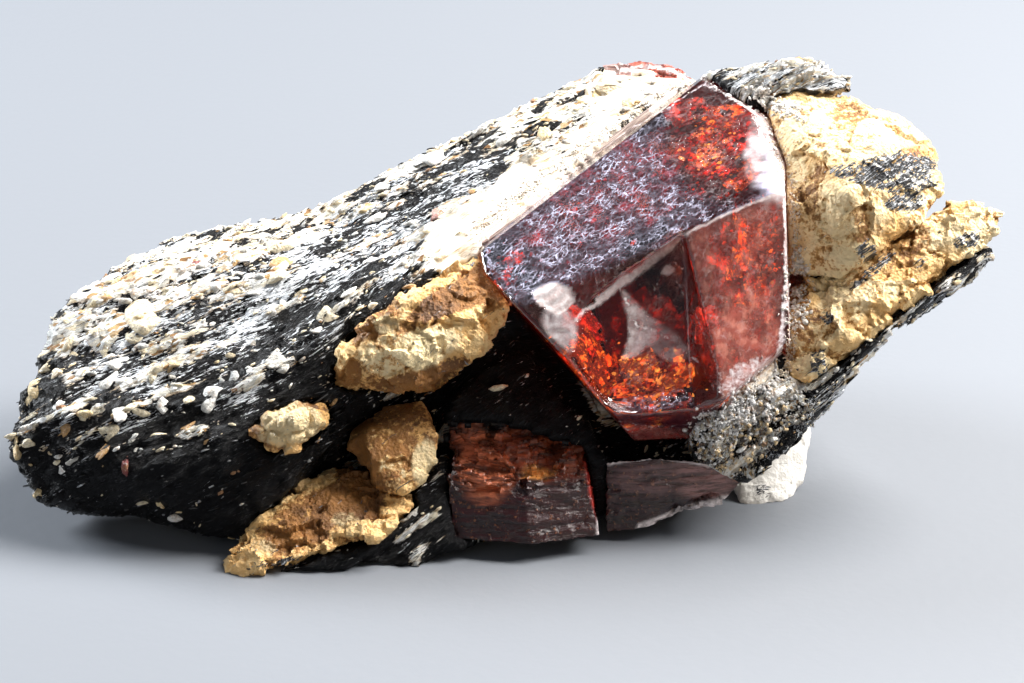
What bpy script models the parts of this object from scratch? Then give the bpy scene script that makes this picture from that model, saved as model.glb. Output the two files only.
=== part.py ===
"""Red zircon crystals and lumps of feldspar set in dark, foliated biotite rock.

Metres, +Z up. The specimen rests on z = 0 with its show side towards -Y and its long way along X.
Corner points are in millimetres, measured from the middle of its base.
"""

import bmesh
import bpy
from mathutils import Vector, noise

MM = 0.001
GAP = 0.3  # air between neighbouring pieces
FLOOR_CUT = 12.0  # depth of the block that trims the feet flat

ROCK_VOXEL, ROCK_ROUGH, ROCK_FACES = 0.8, 0.35, 3600
FELDSPAR_VOXEL, FELDSPAR_ROUGH, FELDSPAR_FACES = 0.5, 0.2, 300
ZIRCON_EDGE = 0.12  # worn width of a crystal edge
LUMP_SIZE = 4.0  # size of the swells on a broken surface
LAYER_DIRECTION = Vector((0.88, 0.33, 0.34))  # the way the mica layers run
LAYER_STRETCH = 3.0  # how much longer than thick the ridges between layers are

# The rock is a pile of chunks that grow together. Each chunk is the hull of its corners.
ROCK_CHUNKS = {
    "left_bulk": (
        (-32.5, -10.5, 5.5), (-32, -10.5, 3.5), (-30.5, -11.5, 1.5), (-28, -11.5, 0.5), (-24.5, -12, 0.5),
        (-28, -12, 8), (-24, -14.5, 5.5), (-16, -15, 6), (-16, -12.5, 10), (-30.5, -6, 10),
        (-29.5, -2.5, 12), (-26.5, 0.5, 13), (-22, 4, 13), (-17, 6, 12.5), (-11, -10.5, 12.5),
        (-12, 8, 14.5), (-5.5, -5.5, 16), (-26.5, 3.5, 4), (-21.5, 8.5, 6), (-14.5, 9.5, 4),
        (-23.5, 7.5, 12),
    ),
    "lower_bulk": (
        (-24, -14.5, 5.5), (-24.5, -12, 0.5), (-19.5, -13.5, 0.5), (-17.5, -15, 0.5), (-16, -15, 6),
        (-11, -13, 7), (-10.5, -12, 10), (-5.5, -6.5, 11.5), (-21.5, 1.5, 3), (-9.5, 5.5, 2),
        (-7.5, 7.5, 12),
    ),
    "fold": (
        (-18.5, -15, 2.5), (-17, -15.5, 0), (-13, -14.5, 5.5), (-10, -12.5, 9.5), (-8, -10, 11),
        (-11, -12, 10.5), (-16, -13.5, 8.5), (-13.5, -11, 0), (-7, -6.5, 6.5),
    ),
    "ledge": (
        (-16.5, -17, 0.5), (-13.5, -18.5, -0.5), (-10.5, -18, -0.5), (-6.5, -17.5, -0.5),
        (-3.5, -16.5, 0.5), (-2.5, -16, 1), (-3, -13.5, 2.5), (-4.5, -12.5, 4), (-5, -15, 3.5),
        (-11, -17, 1.5), (-13.5, -18, 0.5), (-4.5, -7.5, 2), (-13.5, -8.5, 0), (-13.5, -12.5, -1),
        (-4.5, -10.5, -0.5),
    ),
    "core": (
        (-11, -7, 7.5), (-10.5, -11, 0), (-3, -5.5, 11), (-2.5, -12, 0.5), (6, -5, 7.5), (6, -10, 0.5),
        (12.5, -9, 2), (-0.5, -3, 12), (12.5, -5.5, 4), (-11.5, 5.5, -1), (-2.5, 8.5, -1),
        (-9, 14, 6), (8.5, 10, 3), (14.5, -0.5, 5), (6.5, 15, 13), (-11.5, 12, 14),
    ),
    "spine": (
        (-12, 7.5, 15), (-6, 9.5, 17.5), (-4.5, -5, 16.5), (-2, -4, 17), (-2.5, -5, 15),
        (3.5, 12.5, 21.5), (6.5, 13, 22.5), (13, 11, 22.5), (-2, 3, 18.5), (3.5, 4.5, 18.5),
        (9, 8, 20.5), (-10.5, -10, 12.5), (-8.5, -9.5, 13.5), (-7, 16.5, 11), (3.5, 18.4, 12),
        (11, 18, 14), (2.5, 3.5, 8), (-7.5, 3.5, 8), (1, -5.5, 11.5),
    ),
    "saddle": (
        (11, 9.5, 23), (14, 8.5, 24), (18, 7, 24.5), (22, 7, 22.5), (20, 12, 19), (12, 14.5, 18),
        (17, 9, 12), (12, 9, 12), (17, 4, 20),
    ),
    "under_right": (
        (6, -8.5, 2), (13, -8.5, 2.5), (19, -6, 5), (20, -1, 6), (14, 3, 3), (7, 2, 2), (8, -2, 6),
        (18, -2, 9), (12, -4, 6), (17, -8, 7),
    ),
    "backing": (
        (17, -6, 8), (25, -3, 11), (28, -1, 15), (24, 3, 18), (18, 3, 16), (18, 0, 7), (25, 1, 10),
        (20, -6, 12), (19, 4, 6),
    ),
    "back_fill": (
        (-13, 11, 7), (-8, 14, 4.5), (3, 16, 4.5), (11, 15, 7), (-7, 16.5, 11), (3.5, 17.5, 11.5),
        (11, 17.5, 13), (0, 8, 2), (10, 10, 3), (14, 14, 12),
    ),
    "seam": (
        (-4.5, -10, 8.5), (-3.5, -12.5, 4.5), (-4.5, -13.5, 3), (-2.5, -15, 0.5), (-2.5, -8, 6),
        (1, -6, 10), (3.5, -10.5, 7), (6, -11.5, 6.5), (6.5, -12.5, 5), (5, -12.5, 2.5),
        (6, -12.5, 0.5), (7, -10, 1), (-0.5, -7, 3),
    ),
    "cap": (
        (12.5, 7, 23.5), (13.5, 6.5, 25), (16.5, 5.5, 26), (20.5, 5, 26.5), (22.5, 4, 25.5),
        (23, 3, 23.5), (19, 2.5, 23.5), (15, 3.5, 23.5), (22.5, 4.5, 20), (14.5, 8.5, 20),
    ),
    "right_bulk": (
        (15.5, 4.5, 23), (22.5, 3, 23.5), (25.5, 2, 22.5), (28, 1, 20), (23, -2, 14.5),
        (19, -4, 10.5), (12.5, -7.5, 4), (22.5, 9.5, 17), (26.5, 1.5, 14), (20.5, 10, 8),
        (13, 15.5, 11), (12.5, 8.5, 4), (20.5, -2.5, 6), (14.5, -4.5, 4), (11, 15.5, 19),
    ),
    "crust": (
        (11.5, -12, 7), (13, -12, 9), (15.5, -11.5, 9.5), (17.5, -9, 10.5), (18.5, -7, 12),
        (19.5, -11, 9.5), (17, -12.5, 6), (15, -13, 4), (12, -12.5, 5), (11.5, -12, 6),
        (12.5, -7.5, 4), (19, -6.5, 6.5),
    ),
    "rim_upper": (
        (31.5, -5.5, 16.5), (31, -4.5, 17), (32, -4, 16.5), (30, -4, 14.5), (27.5, -8, 15),
        (25, -9, 13), (27.5, -6.5, 16), (24, -8.5, 14), (26, -1, 13.5), (23.5, -1, 12), (25.5, -6, 11.5),
        (22.5, -5, 13.5), (29, -2, 16.5), (26.5, -3, 16.5),
    ),
    "rim_lower": (
        (25, -9, 13), (23.5, -10, 12), (21.5, -11.5, 10), (20, -12, 8.5), (18.5, -12.5, 7),
        (17, -13, 5), (15, -13, 3.5), (14.5, -12.5, 4.5), (16.5, -12, 7), (22.5, -9.5, 13),
        (22.5, -2.5, 10.5), (19, -4, 6.5), (20.5, -7, 6.5), (18, -8.5, 5), (15.5, -9.5, 3.5),
        (20, -6, 11),
    ),
}

FELDSPAR_LUMPS = {
    "feldspar_lens": (
        (-11, -11.5, 10), (-10.5, -11.5, 12.5), (-8.5, -11, 14.5), (-6, -10, 15), (-3.5, -8, 16),
        (-2, -5, 16), (0, -9, 14.5), (0, -9.5, 13.5), (-2.5, -11, 11.5), (-5, -12, 10),
        (-8, -12.5, 11), (-6, -12, 13), (-9.5, -6, 10.5), (-5, -7, 8), (-0.5, -4, 12.5),
    ),
    "feldspar_knob": (
        (-10.5, -11.5, 5.5), (-10, -10.5, 6.5), (-8, -9.5, 7.5), (-5.5, -9.5, 8), (-4.5, -12, 7),
        (-4.5, -13.5, 5.5), (-5, -14.5, 4.5), (-6.5, -15.5, 4), (-7, -14.5, 5.5), (-8.5, -12.5, 6.5),
        (-10, -12, 4.5), (-7, -10, 2), (-5, -7, 5.5), (-10, -8, 3.5),
    ),
    "feldspar_ledge": (
        (-17.5, -17.5, -0.5), (-17.5, -16.5, 1), (-15.5, -15, 2.5), (-13, -13.5, 3.5),
        (-11.5, -11.5, 4), (-9, -12, 3.5), (-5.5, -14, 3.5), (-6, -15.5, 3), (-8, -17, 2),
        (-11.5, -17.5, 1.5), (-14, -18, 1), (-16.5, -18, 0), (-13.5, -9.5, 0.5), (-7, -9, 1.5),
        (-14.5, -12.5, -1.5),
    ),
    "feldspar_nugget": (
        (-16, -14, 8), (-15, -13.5, 9), (-13, -13, 9.5), (-11, -12.5, 9.5), (-11.5, -13.5, 8),
        (-13, -14.5, 7), (-15, -14.5, 7), (-13.5, -14.5, 9), (-14.5, -11, 7), (-12.5, -10.5, 7),
    ),
    "feldspar_shoulder": (
        (18, 0.5, 22), (17, 4, 23.5), (19, 4, 24), (22.5, 3.5, 24), (25.5, 2, 23), (27.5, 0, 21.5),
        (28, -2, 20.5), (28, -3, 19.5), (26.5, -5, 18.5), (23, -7, 17.5), (21, -7, 15.5),
        (18.5, -5, 15.5), (18, -4.5, 19.5), (21.5, -6.5, 21), (24, -4, 23), (20, -2.5, 23),
        (26, 1.5, 17), (19.5, 0.5, 14), (23, 6.5, 21),
    ),
    "feldspar_tongue": (
        (22, -6.5, 15.5), (25, -4.5, 18), (28, -3.5, 19.5), (30.5, -3, 19), (32, -3.5, 18.5),
        (31.5, -4.5, 17.5), (30.5, -4.5, 17), (27, -7, 16), (24.5, -8.5, 14.5), (21.5, -10, 12.5),
        (19, -11, 10), (18, -10, 10), (17.5, -8, 11.5), (18.5, -6, 14), (20.5, -9, 13.5),
        (29, -2.5, 17), (23, -4, 14), (19, -7, 9.5),
    ),
    "feldspar_foot": (
        (14.5, -6.5, 1.5), (15, -8.5, 0), (16.5, -9, -0.5), (18, -8.5, -0.5), (19.5, -6.5, 0.5),
        (20, -4, 3), (19, -2, 6.3), (17.5, -3.5, 5.3), (16.5, -1, 4.8), (20, 0, 2), (17.5, -3.5, -1.5),
    ),
}

SMALL_ZIRCONS = {
    "zircon_lower_left": (
        (-3.75, -13.5, 4.5), (-3.5, -15.5, 1.25), (1.5, -16.25, 1.25), (5.75, -15, 1.25),
        (5, -13.25, 5), (0.75, -14.25, 5), (-3.5, -8.75, 8), (0.75, -10.25, 7), (4.75, -10, 6.25),
        (-3.75, -8.5, 2.5), (5.25, -8.5, 2.5), (-3.25, -8.5, 0.75), (5.25, -8.75, 0.75),
    ),
    "zircon_lower_right": (
        (6.25, -12.25, 5), (9, -12.5, 5.5), (12.5, -12.25, 5), (15, -12, 3.5), (13.75, -12.5, 2.25),
        (11.5, -13, 1.5), (9, -13.5, 1), (6.25, -13.5, 0.5), (7.25, -8, 1.5), (13.75, -8, 1.5),
        (7.25, -8.75, 0.5),
    ),
    "zircon_rear": (
        (6.25, 12.25, 21.75), (6.5, 13.5, 22.5), (9, 13.75, 22.75), (11.75, 13, 22.5),
        (12.75, 11.75, 22.25), (11, 9.5, 21), (7.25, 10.25, 21.25), (8.5, 14, 19.5),
        (11.5, 13.5, 19),
    ),
}

# The big crystal is a block trimmed by its natural and broken faces, three points on each.
MAIN_ZIRCON_HEART = (9, -3, 14)
MAIN_ZIRCON_BLOCK = 40.0
MAIN_ZIRCON_FACES = {
    "upper": ((0.3, -10.6, 15.3), (17.6, -5, 20.7), (-1.8, -6, 16.8)),
    "front": ((0.3, -10.6, 15.3), (17.6, -5, 20.7), (13.4, -12.8, 9.9)),
    "strip": ((0.3, -10.6, 15.2), (3.3, -12, 12.7), (5.1, -11.5, 8.2)),
    "left_end": ((-1.8, -6, 16.8), (-1.5, -7.5, 16.1), (-0.5, 2.6, 9.6)),
    "left_corner": ((-1.5, -7.7, 16.1), (0.3, -10.6, 15.3), (1.5, -0.1, 8.6)),
    "bottom": ((5.8, -13.6, 9.3), (13.4, -12.8, 9.6), (8.5, -10.4, 4.9)),
    "underside": ((5.2, -11.3, 6), (11.6, -11, 5.7), (14, -3, 6.5)),
    "right_end": ((17.6, -5, 20.7), (17.7, -7.7, 16.1), (18.9, 2.1, 13.5)),
    "right_low": ((17.1, -10.5, 12), (13.6, -12.7, 9.6), (17.3, -3.5, 6.2)),
    "top_right": ((16.2, 1, 22.9), (17.6, -5, 20.7), (19, 0.7, 21.1)),
    "top_corner": ((13.5, 5.6, 24.1), (15.5, 2.9, 23.4), (15.3, 8.7, 22.7)),
    "back": ((-1.8, -6, 16.8), (12.7, 5.2, 24.2), (5.1, 6.1, 18.5)),
    "deep": ((-0.5, 3, 12.7), (13.1, 7.5, 18.1), (9.5, -1.5, 5)),
    "rear": ((10, 7.5, 23), (16, 7.5, 23), (13, 8.5, 16)),
}
# A flake broken off the front left a shallow dish with this shape.
MAIN_ZIRCON_CHIP = (
    (2, -17.1, 14.7), (3, -12.3, 13.7), (5.8, -8.9, 15.4), (8.4, -7.2, 16.2), (11.2, -5.3, 17.8),
    (13.5, -13.2, 9.9), (11.9, -14.8, 7.9), (5.1, -14.7, 9.2), (2.9, -18.5, 16.6),
    (10.5, -15.9, 22.2), (12.9, -20, 13.3), (4.9, -20.6, 12.1), (8.4, -9.1, 12.8),
    (11.5, -11, 9.8), (6.4, -11.8, 9.2),
)

BIOTITE = ((0.045, 0.045, 0.05), 0.45, 0.1)
ZIRCON_RED = ((0.32, 0.02, 0.015), 0.12, 0.0)
ZIRCON_BROWN = ((0.16, 0.035, 0.03), 0.25, 0.0)
ZIRCON_GREY = ((0.2, 0.11, 0.12), 0.3, 0.0)
ZIRCON_PINK = ((0.55, 0.18, 0.16), 0.3, 0.0)
FELDSPAR_CREAM = ((0.72, 0.56, 0.36), 0.6, 0.0)
FELDSPAR_BROWN = ((0.6, 0.42, 0.24), 0.65, 0.0)
FELDSPAR_WHITE = ((0.8, 0.78, 0.74), 0.7, 0.0)
FINISHES = {
    "biotite_matrix": BIOTITE,
    "zircon_main": ZIRCON_RED,
    "zircon_lower_left": ZIRCON_BROWN,
    "zircon_lower_right": ZIRCON_GREY,
    "zircon_rear": ZIRCON_PINK,
    "feldspar_lens": FELDSPAR_BROWN,
    "feldspar_knob": FELDSPAR_BROWN,
    "feldspar_ledge": FELDSPAR_BROWN,
    "feldspar_nugget": FELDSPAR_CREAM,
    "feldspar_shoulder": FELDSPAR_CREAM,
    "feldspar_tongue": FELDSPAR_CREAM,
    "feldspar_foot": FELDSPAR_WHITE,
}


def clear_scene():
    for obj in list(bpy.data.objects):
        bpy.data.objects.remove(obj)


def add_object(name, bm):
    """A new object from this mesh, which faces outwards."""
    bmesh.ops.recalc_face_normals(bm, faces=bm.faces)
    mesh = bpy.data.meshes.new(name)
    bm.to_mesh(mesh)
    bm.free()
    obj = bpy.data.objects.new(name, mesh)
    bpy.context.scene.collection.objects.link(obj)
    return obj


def hull_into(bm, points):
    """Adds the convex hull of these points, in millimetres, to the mesh."""
    corners = [bm.verts.new(Vector(point) * MM) for point in points]
    hull = bmesh.ops.convex_hull(bm, input=corners)
    spare = {item for item in hull["geom_interior"] + hull["geom_unused"]}
    inside = [item for item in spare if isinstance(item, bmesh.types.BMVert)]
    bmesh.ops.delete(bm, geom=inside, context="VERTS")


def hull_object(name, points):
    bm = bmesh.new()
    hull_into(bm, points)
    return add_object(name, bm)


def hide_helper(obj):
    obj.hide_render = True
    obj.display_type = "WIRE"


def freeze(obj):
    """Makes the modified shape the object's own."""
    bpy.context.view_layer.update()
    graph = bpy.context.evaluated_depsgraph_get()
    shaped = bpy.data.meshes.new_from_object(obj.evaluated_get(graph))
    obj.modifiers.clear()
    obj.data = shaped


def remesh(obj, voxel):
    modifier = obj.modifiers.new("grown_together", "REMESH")
    modifier.mode = "VOXEL"
    modifier.voxel_size = voxel * MM
    smooth = obj.modifiers.new("worn", "SMOOTH")
    smooth.factor = 0.5
    smooth.iterations = 2
    freeze(obj)


def thin_out(obj, faces):
    """Brings the mesh down to about this many triangles."""
    decimate = obj.modifiers.new("facets", "DECIMATE")
    decimate.ratio = faces / (2 * len(obj.data.polygons))
    freeze(obj)


def layered(point):
    """The point squeezed along the mica layers, so that noise read there comes out in long ridges."""
    along = LAYER_DIRECTION.normalized()
    length = point.dot(along)
    return point - along * length * (1 - 1 / LAYER_STRETCH)


def roughen(obj, depth, warp):
    """Pushes the surface in and out by up to this depth, in swells and smaller lumps."""
    for vertex in obj.data.vertices:
        place = warp(vertex.co / MM) / LUMP_SIZE
        swell = noise.noise(place) + 0.5 * noise.noise(place * 2.7)
        vertex.co += vertex.normal * swell * depth * MM


def cut(obj, tool, operation="DIFFERENCE"):
    modifier = obj.modifiers.new("cut", "BOOLEAN")
    modifier.operation = operation
    modifier.solver = "EXACT"
    modifier.object = tool
    freeze(obj)


def floor_block():
    """A block under z = 0 that trims the feet flat."""
    bm = bmesh.new()
    bmesh.ops.create_cube(bm, size=1.0)
    bmesh.ops.scale(bm, vec=Vector((100, 100, FLOOR_CUT)) * MM, verts=bm.verts)
    bmesh.ops.translate(bm, vec=Vector((0, 0, -FLOOR_CUT / 2)) * MM, verts=bm.verts)
    block = add_object("floor_block", bm)
    hide_helper(block)
    return block


def socket_for(piece):
    """The hull of a piece, grown by the gap on every side: the room its neighbours leave it."""
    grow = [Vector(step) * GAP for step in ((1, 0, 0), (0, 1, 0), (0, 0, 1))]
    corners = [vertex.co / MM for vertex in piece.data.vertices]
    points = [corner + sign * step for corner in corners for step in grow for sign in (1, -1)]
    socket = hull_object(piece.name + "_socket", points)
    hide_helper(socket)
    return socket


def keep_largest_body(obj):
    """Drops crumbs that a cut has left loose."""
    bm = bmesh.new()
    bm.from_mesh(obj.data)
    bm.verts.ensure_lookup_table()
    left, bodies = set(bm.verts), []
    while left:
        body, edge = set(), [next(iter(left))]
        while edge:
            vertex = edge.pop()
            if vertex in body:
                continue
            body.add(vertex)
            edge.extend(link.other_vert(vertex) for link in vertex.link_edges)
        left -= body
        bodies.append(body)
    largest = max(bodies, key=len)
    crumbs = [vertex for vertex in bm.verts if vertex not in largest]
    bmesh.ops.delete(bm, geom=crumbs, context="VERTS")
    bm.to_mesh(obj.data)
    bm.free()


def make_rock():
    bm = bmesh.new()
    for points in ROCK_CHUNKS.values():
        hull_into(bm, points)
    rock = add_object("biotite_matrix", bm)
    remesh(rock, ROCK_VOXEL)
    roughen(rock, ROCK_ROUGH, layered)
    thin_out(rock, ROCK_FACES)
    return rock


def make_lump(name, points):
    lump = hull_object(name, points)
    remesh(lump, FELDSPAR_VOXEL)
    roughen(lump, FELDSPAR_ROUGH, lambda point: point)
    thin_out(lump, FELDSPAR_FACES)
    return lump


def trim_face(bm, points, heart):
    """Cuts away what lies beyond the plane through three points, and closes the cut."""
    first, second, third = (Vector(point) * MM for point in points)
    normal = (second - first).cross(third - first).normalized()
    if normal.dot(heart - first) > 0:
        normal = -normal
    found = bmesh.ops.bisect_plane(
        bm, geom=bm.verts[:] + bm.edges[:] + bm.faces[:], dist=1e-7,
        plane_co=first, plane_no=normal, clear_outer=True,
    )
    rim = [item for item in found["geom_cut"] if isinstance(item, bmesh.types.BMEdge)]
    if rim:
        bmesh.ops.contextual_create(bm, geom=rim)


def wear_edges(bm):
    bmesh.ops.bevel(
        bm, geom=bm.edges[:], offset=ZIRCON_EDGE * MM, offset_type="OFFSET", segments=1,
        profile=0.5, affect="EDGES", clamp_overlap=True, material=-1,
    )


def make_main_zircon():
    heart = Vector(MAIN_ZIRCON_HEART) * MM
    bm = bmesh.new()
    bmesh.ops.create_cube(bm, size=MAIN_ZIRCON_BLOCK * MM)
    bmesh.ops.translate(bm, vec=heart, verts=bm.verts)
    for points in MAIN_ZIRCON_FACES.values():
        trim_face(bm, points, heart)
    wear_edges(bm)
    crystal = add_object("zircon_main", bm)
    chip = hull_object("chip", MAIN_ZIRCON_CHIP)
    hide_helper(chip)
    cut(crystal, chip)
    return crystal


def give_finish(obj):
    color, roughness, metallic = FINISHES[obj.name]
    material = bpy.data.materials.new(obj.name)
    material.use_nodes = True
    shader = material.node_tree.nodes["Principled BSDF"]
    shader.inputs["Base Color"].default_value = (*color, 1)
    shader.inputs["Roughness"].default_value = roughness
    shader.inputs["Metallic"].default_value = metallic
    obj.data.materials.clear()
    obj.data.materials.append(material)


def make_specimen():
    """The crystals first, then the lumps around them, then the rock that holds them all."""
    floor = floor_block()
    placed = [make_main_zircon()]
    makers = [(hull_object, SMALL_ZIRCONS), (make_lump, FELDSPAR_LUMPS)]
    sockets = [socket_for(placed[0])]
    for maker, shapes in makers:
        for name, points in shapes.items():
            piece = maker(name, points)
            for tool in sockets:
                cut(piece, tool)
            cut(piece, floor)
            keep_largest_body(piece)
            placed.append(piece)
            sockets.append(socket_for(piece))
    rock = make_rock()
    for tool in sockets + [floor]:
        cut(rock, tool)
    keep_largest_body(rock)
    for obj in [*placed, rock]:
        give_finish(obj)


clear_scene()
make_specimen()
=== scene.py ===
"""Finish of a red zircon specimen: foliated biotite rock, feldspar lumps and clear red crystals.

Points and sizes inside this file are in millimetres in the specimen's own frame, and meshes are in metres.
"""

import math

import bmesh
import bpy
import numpy as np
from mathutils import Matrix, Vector
from mathutils.bvhtree import BVHTree


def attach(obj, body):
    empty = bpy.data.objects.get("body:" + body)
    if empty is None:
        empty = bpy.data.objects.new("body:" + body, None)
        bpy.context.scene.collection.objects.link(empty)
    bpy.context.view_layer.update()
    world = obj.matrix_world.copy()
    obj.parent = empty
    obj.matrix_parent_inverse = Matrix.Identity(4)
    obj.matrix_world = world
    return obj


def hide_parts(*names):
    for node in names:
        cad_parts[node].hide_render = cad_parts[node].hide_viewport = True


bl_info = {
    "name": "Zircon on biotite",
    "version": (1, 0, 0),
    "blender": (4, 5, 0),
    "location": "3D View > Sidebar > Zircon",
    "description": "Gives the packed solids of a zircon specimen their natural finish",
    "category": "Add Mesh",
}

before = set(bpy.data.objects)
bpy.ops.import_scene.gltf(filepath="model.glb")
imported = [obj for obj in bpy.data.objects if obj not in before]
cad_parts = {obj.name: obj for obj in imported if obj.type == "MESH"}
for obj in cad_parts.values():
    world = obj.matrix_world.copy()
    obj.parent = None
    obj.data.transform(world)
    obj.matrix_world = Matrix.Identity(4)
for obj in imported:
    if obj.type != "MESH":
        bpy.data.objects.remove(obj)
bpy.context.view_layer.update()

MM = 0.001
ROOT = "root"

# The show side leans back. Across, up and deep are measured on and behind a plane that leans with it.
LEAN = math.radians(25)
SHOW_MIDDLE = np.array([0.27, -11.32, 13.0])
SHOW_AXES = np.array([
    [1, 0, 0],
    [0, math.sin(LEAN), math.cos(LEAN)],
    [0, math.cos(LEAN), -math.sin(LEAN)],
])
EYE_DISTANCE = 177.8
LENS, SENSOR = 100, 36

# How fine the skins and the sheets in the main crystal are, and how thick those sheets are.
ROCK_VOXEL, FELDSPAR_VOXEL, CRYSTAL_VOXEL, SMALL_CRYSTAL_VOXEL = 0.28, 0.14, 0.2, 0.14
CRACK_GRID, CRACK_THICKNESS = 0.24, 0.02
SHARP_TURN = math.radians(38)  # between two faces that meet in a sharp edge
FAR = 99.0  # more than the distance between any two points of the specimen


# ---------------------------------------------------------------- places on the specimen

def to_show(points):
    """Frame points as across, up and deep."""
    return (np.asarray(points, float) - SHOW_MIDDLE) @ SHOW_AXES.T


def from_show(points):
    return np.asarray(points, float) @ SHOW_AXES + SHOW_MIDDLE


EYE = from_show([0, 0, -EYE_DISTANCE])


def smooth(low, high, value):
    """0 under low, 1 over high, and an even ramp between."""
    t = np.clip((value - low) / (high - low), 0, 1)
    return t * t * (3 - 2 * t)


FOLD_FROM, FOLD_TO = -18.0, -8.0  # where the layers turn upwards, across
FLAT_SLOPE, STEEP_SLOPE, BACK_SLOPE = 0.42, 0.78, 0.42
BACK_FROM, BACK_TO = 4, 11  # how deep the layers of the show side turn into those of the back
LAYER_DIP = 0.12  # how much the layers rise towards the back


def fold(across):
    """Height and slope of one layer along the show side: nearly level at the left end, then steep."""
    width = FOLD_TO - FOLD_FROM
    t = np.clip((across - FOLD_FROM) / width, 0, 1)
    turn = STEEP_SLOPE - FLAT_SLOPE
    risen = turn * (width * (t ** 3 - t ** 4 / 2) + np.maximum(across - FOLD_TO, 0))
    return FLAT_SLOPE * across + risen, FLAT_SLOPE + turn * t * t * (3 - 2 * t)


def layer_coords(points):
    """Along, through and across the sheets of mica."""
    across, up, deep = to_show(points).T
    front, _ = fold(across)
    back = BACK_SLOPE * across
    share = smooth(BACK_FROM, BACK_TO, deep)
    level = up - front * (1 - share) - back * share + LAYER_DIP * deep
    return np.stack([across * 1.15, level, deep], 1)


def layer_axes(points):
    """Unit vectors along each sheet and square to it, in the frame."""
    across, _, deep = to_show(points).T
    _, slope = fold(across)
    share = smooth(BACK_FROM, BACK_TO, deep)
    slope = slope * (1 - share) + BACK_SLOPE * share
    one, none = np.ones_like(slope), np.zeros_like(slope)
    along = np.stack([one, slope, none], 1) @ SHOW_AXES
    square = np.stack([-slope, one, none + LAYER_DIP], 1) @ SHOW_AXES
    return unit(along), unit(square)


def unit(vectors):
    return vectors / np.maximum(np.linalg.norm(vectors, axis=1, keepdims=True), 1e-12)


# ---------------------------------------------------------------- repeatable roughness

def cell_random(cells, seed):
    """Three numbers from 0 to 1 for each whole-number cell, the same on every run."""
    n = cells.astype(np.int64).astype(np.uint64)
    mixed = n[:, 0] * np.uint64(73856093) ^ n[:, 1] * np.uint64(19349663) ^ n[:, 2] * np.uint64(83492791)
    mixed ^= np.uint64(seed * 7919 + 17)
    found = []
    for _ in range(3):
        mixed = (mixed ^ (mixed >> np.uint64(29))) * np.uint64(0xBF58476D1CE4E5B9)
        mixed ^= mixed >> np.uint64(32)
        found.append((mixed & np.uint64(0xFFFFFF)).astype(float) / 0xFFFFFF)
    return np.stack(found, 1)


def swell(points, seed):
    """Smooth noise from -1 to 1 with lumps one unit across."""
    base = np.floor(points)
    t = points - base
    t = t * t * (3 - 2 * t)
    total = np.zeros(len(points))
    for corner in np.ndindex(2, 2, 2):
        weight = np.prod(np.where(corner, t, 1 - t), axis=1)
        total += weight * cell_random(base + corner, seed)[:, 0]
    return total * 2 - 1


def roughness(points, size, octaves=3, seed=0):
    """Swells of this size with finer ones on them."""
    total, height = np.zeros(len(points)), 1.0
    scaled = np.asarray(points) / size
    for octave in range(octaves):
        total += height * swell(scaled * 2.03 ** octave + octave * 5.3, seed + octave)
        height *= 0.5
    return total / 1.7


def chips(points, size, seed):
    """The broken facets of a crystalline surface: height of each facet, and how near its edge is."""
    scaled = np.asarray(points) / size
    base = np.floor(scaled)
    nearest = np.full(len(scaled), 9.0)
    second = nearest.copy()
    offset, number = np.zeros_like(scaled), np.zeros_like(scaled)
    for corner in np.ndindex(3, 3, 3):
        cell = base + np.array(corner) - 1
        jitter = cell_random(cell, seed)
        away = scaled - cell - jitter
        distance = np.einsum("ij,ij->i", away, away)
        closer = distance < nearest
        second = np.where(closer, nearest, np.minimum(second, distance))
        nearest = np.where(closer, distance, nearest)
        offset = np.where(closer[:, None], away, offset)
        number = np.where(closer[:, None], jitter, number)
    tilt = unit(number * 2 - 1)
    height = np.einsum("ij,ij->i", offset, tilt) + (number[:, 0] - 0.5)
    return height, np.sqrt(second) - np.sqrt(nearest)


# ---------------------------------------------------------------- meshes

def link(obj):
    bpy.context.scene.collection.objects.link(obj)
    return obj


def object_from(name, bm):
    mesh = bpy.data.meshes.new(name)
    bm.to_mesh(mesh)
    bm.free()
    return link(bpy.data.objects.new(name, mesh))


def copy_of(node, name):
    """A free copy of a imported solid, with its loose triangles sewn together."""
    bm = bmesh.new()
    bm.from_mesh(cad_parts[node].data)
    bmesh.ops.remove_doubles(bm, verts=bm.verts, dist=1e-6)
    return object_from(name, bm)


def discard(obj):
    """Removes an object that was only needed for its mesh, and the mesh with it."""
    mesh = obj.data
    bpy.data.objects.remove(obj)
    bpy.data.meshes.remove(mesh)


def apply_modifiers(obj):
    bpy.context.view_layer.update()
    graph = bpy.context.evaluated_depsgraph_get()
    made = bpy.data.meshes.new_from_object(obj.evaluated_get(graph))
    old = obj.data
    obj.modifiers.clear()
    obj.data = made
    made.name = obj.name
    bpy.data.meshes.remove(old)


def skin_of(node, name, voxel):
    """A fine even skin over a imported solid, ready to be roughened."""
    obj = copy_of(node, name)
    grid = obj.modifiers.new("skin", "REMESH")
    grid.mode = "VOXEL"
    grid.voxel_size = voxel * MM
    even = obj.modifiers.new("even", "SMOOTH")
    even.factor, even.iterations = 0.5, 3
    apply_modifiers(obj)
    return obj


def points_of(mesh):
    flat = np.empty(len(mesh.vertices) * 3, np.float32)
    mesh.vertices.foreach_get("co", flat)
    return flat.reshape(-1, 3).astype(float) / MM


def normals_of(mesh):
    flat = np.empty(len(mesh.vertices) * 3, np.float32)
    mesh.vertex_normals.foreach_get("vector", flat)
    return flat.reshape(-1, 3).astype(float)


def set_points(mesh, points):
    """Moves the vertices, and keeps them above the surface the specimen rests on."""
    points[:, 2] = np.maximum(points[:, 2], 0)
    mesh.vertices.foreach_set("co", (points * MM).astype(np.float32).ravel())
    mesh.update()


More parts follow.
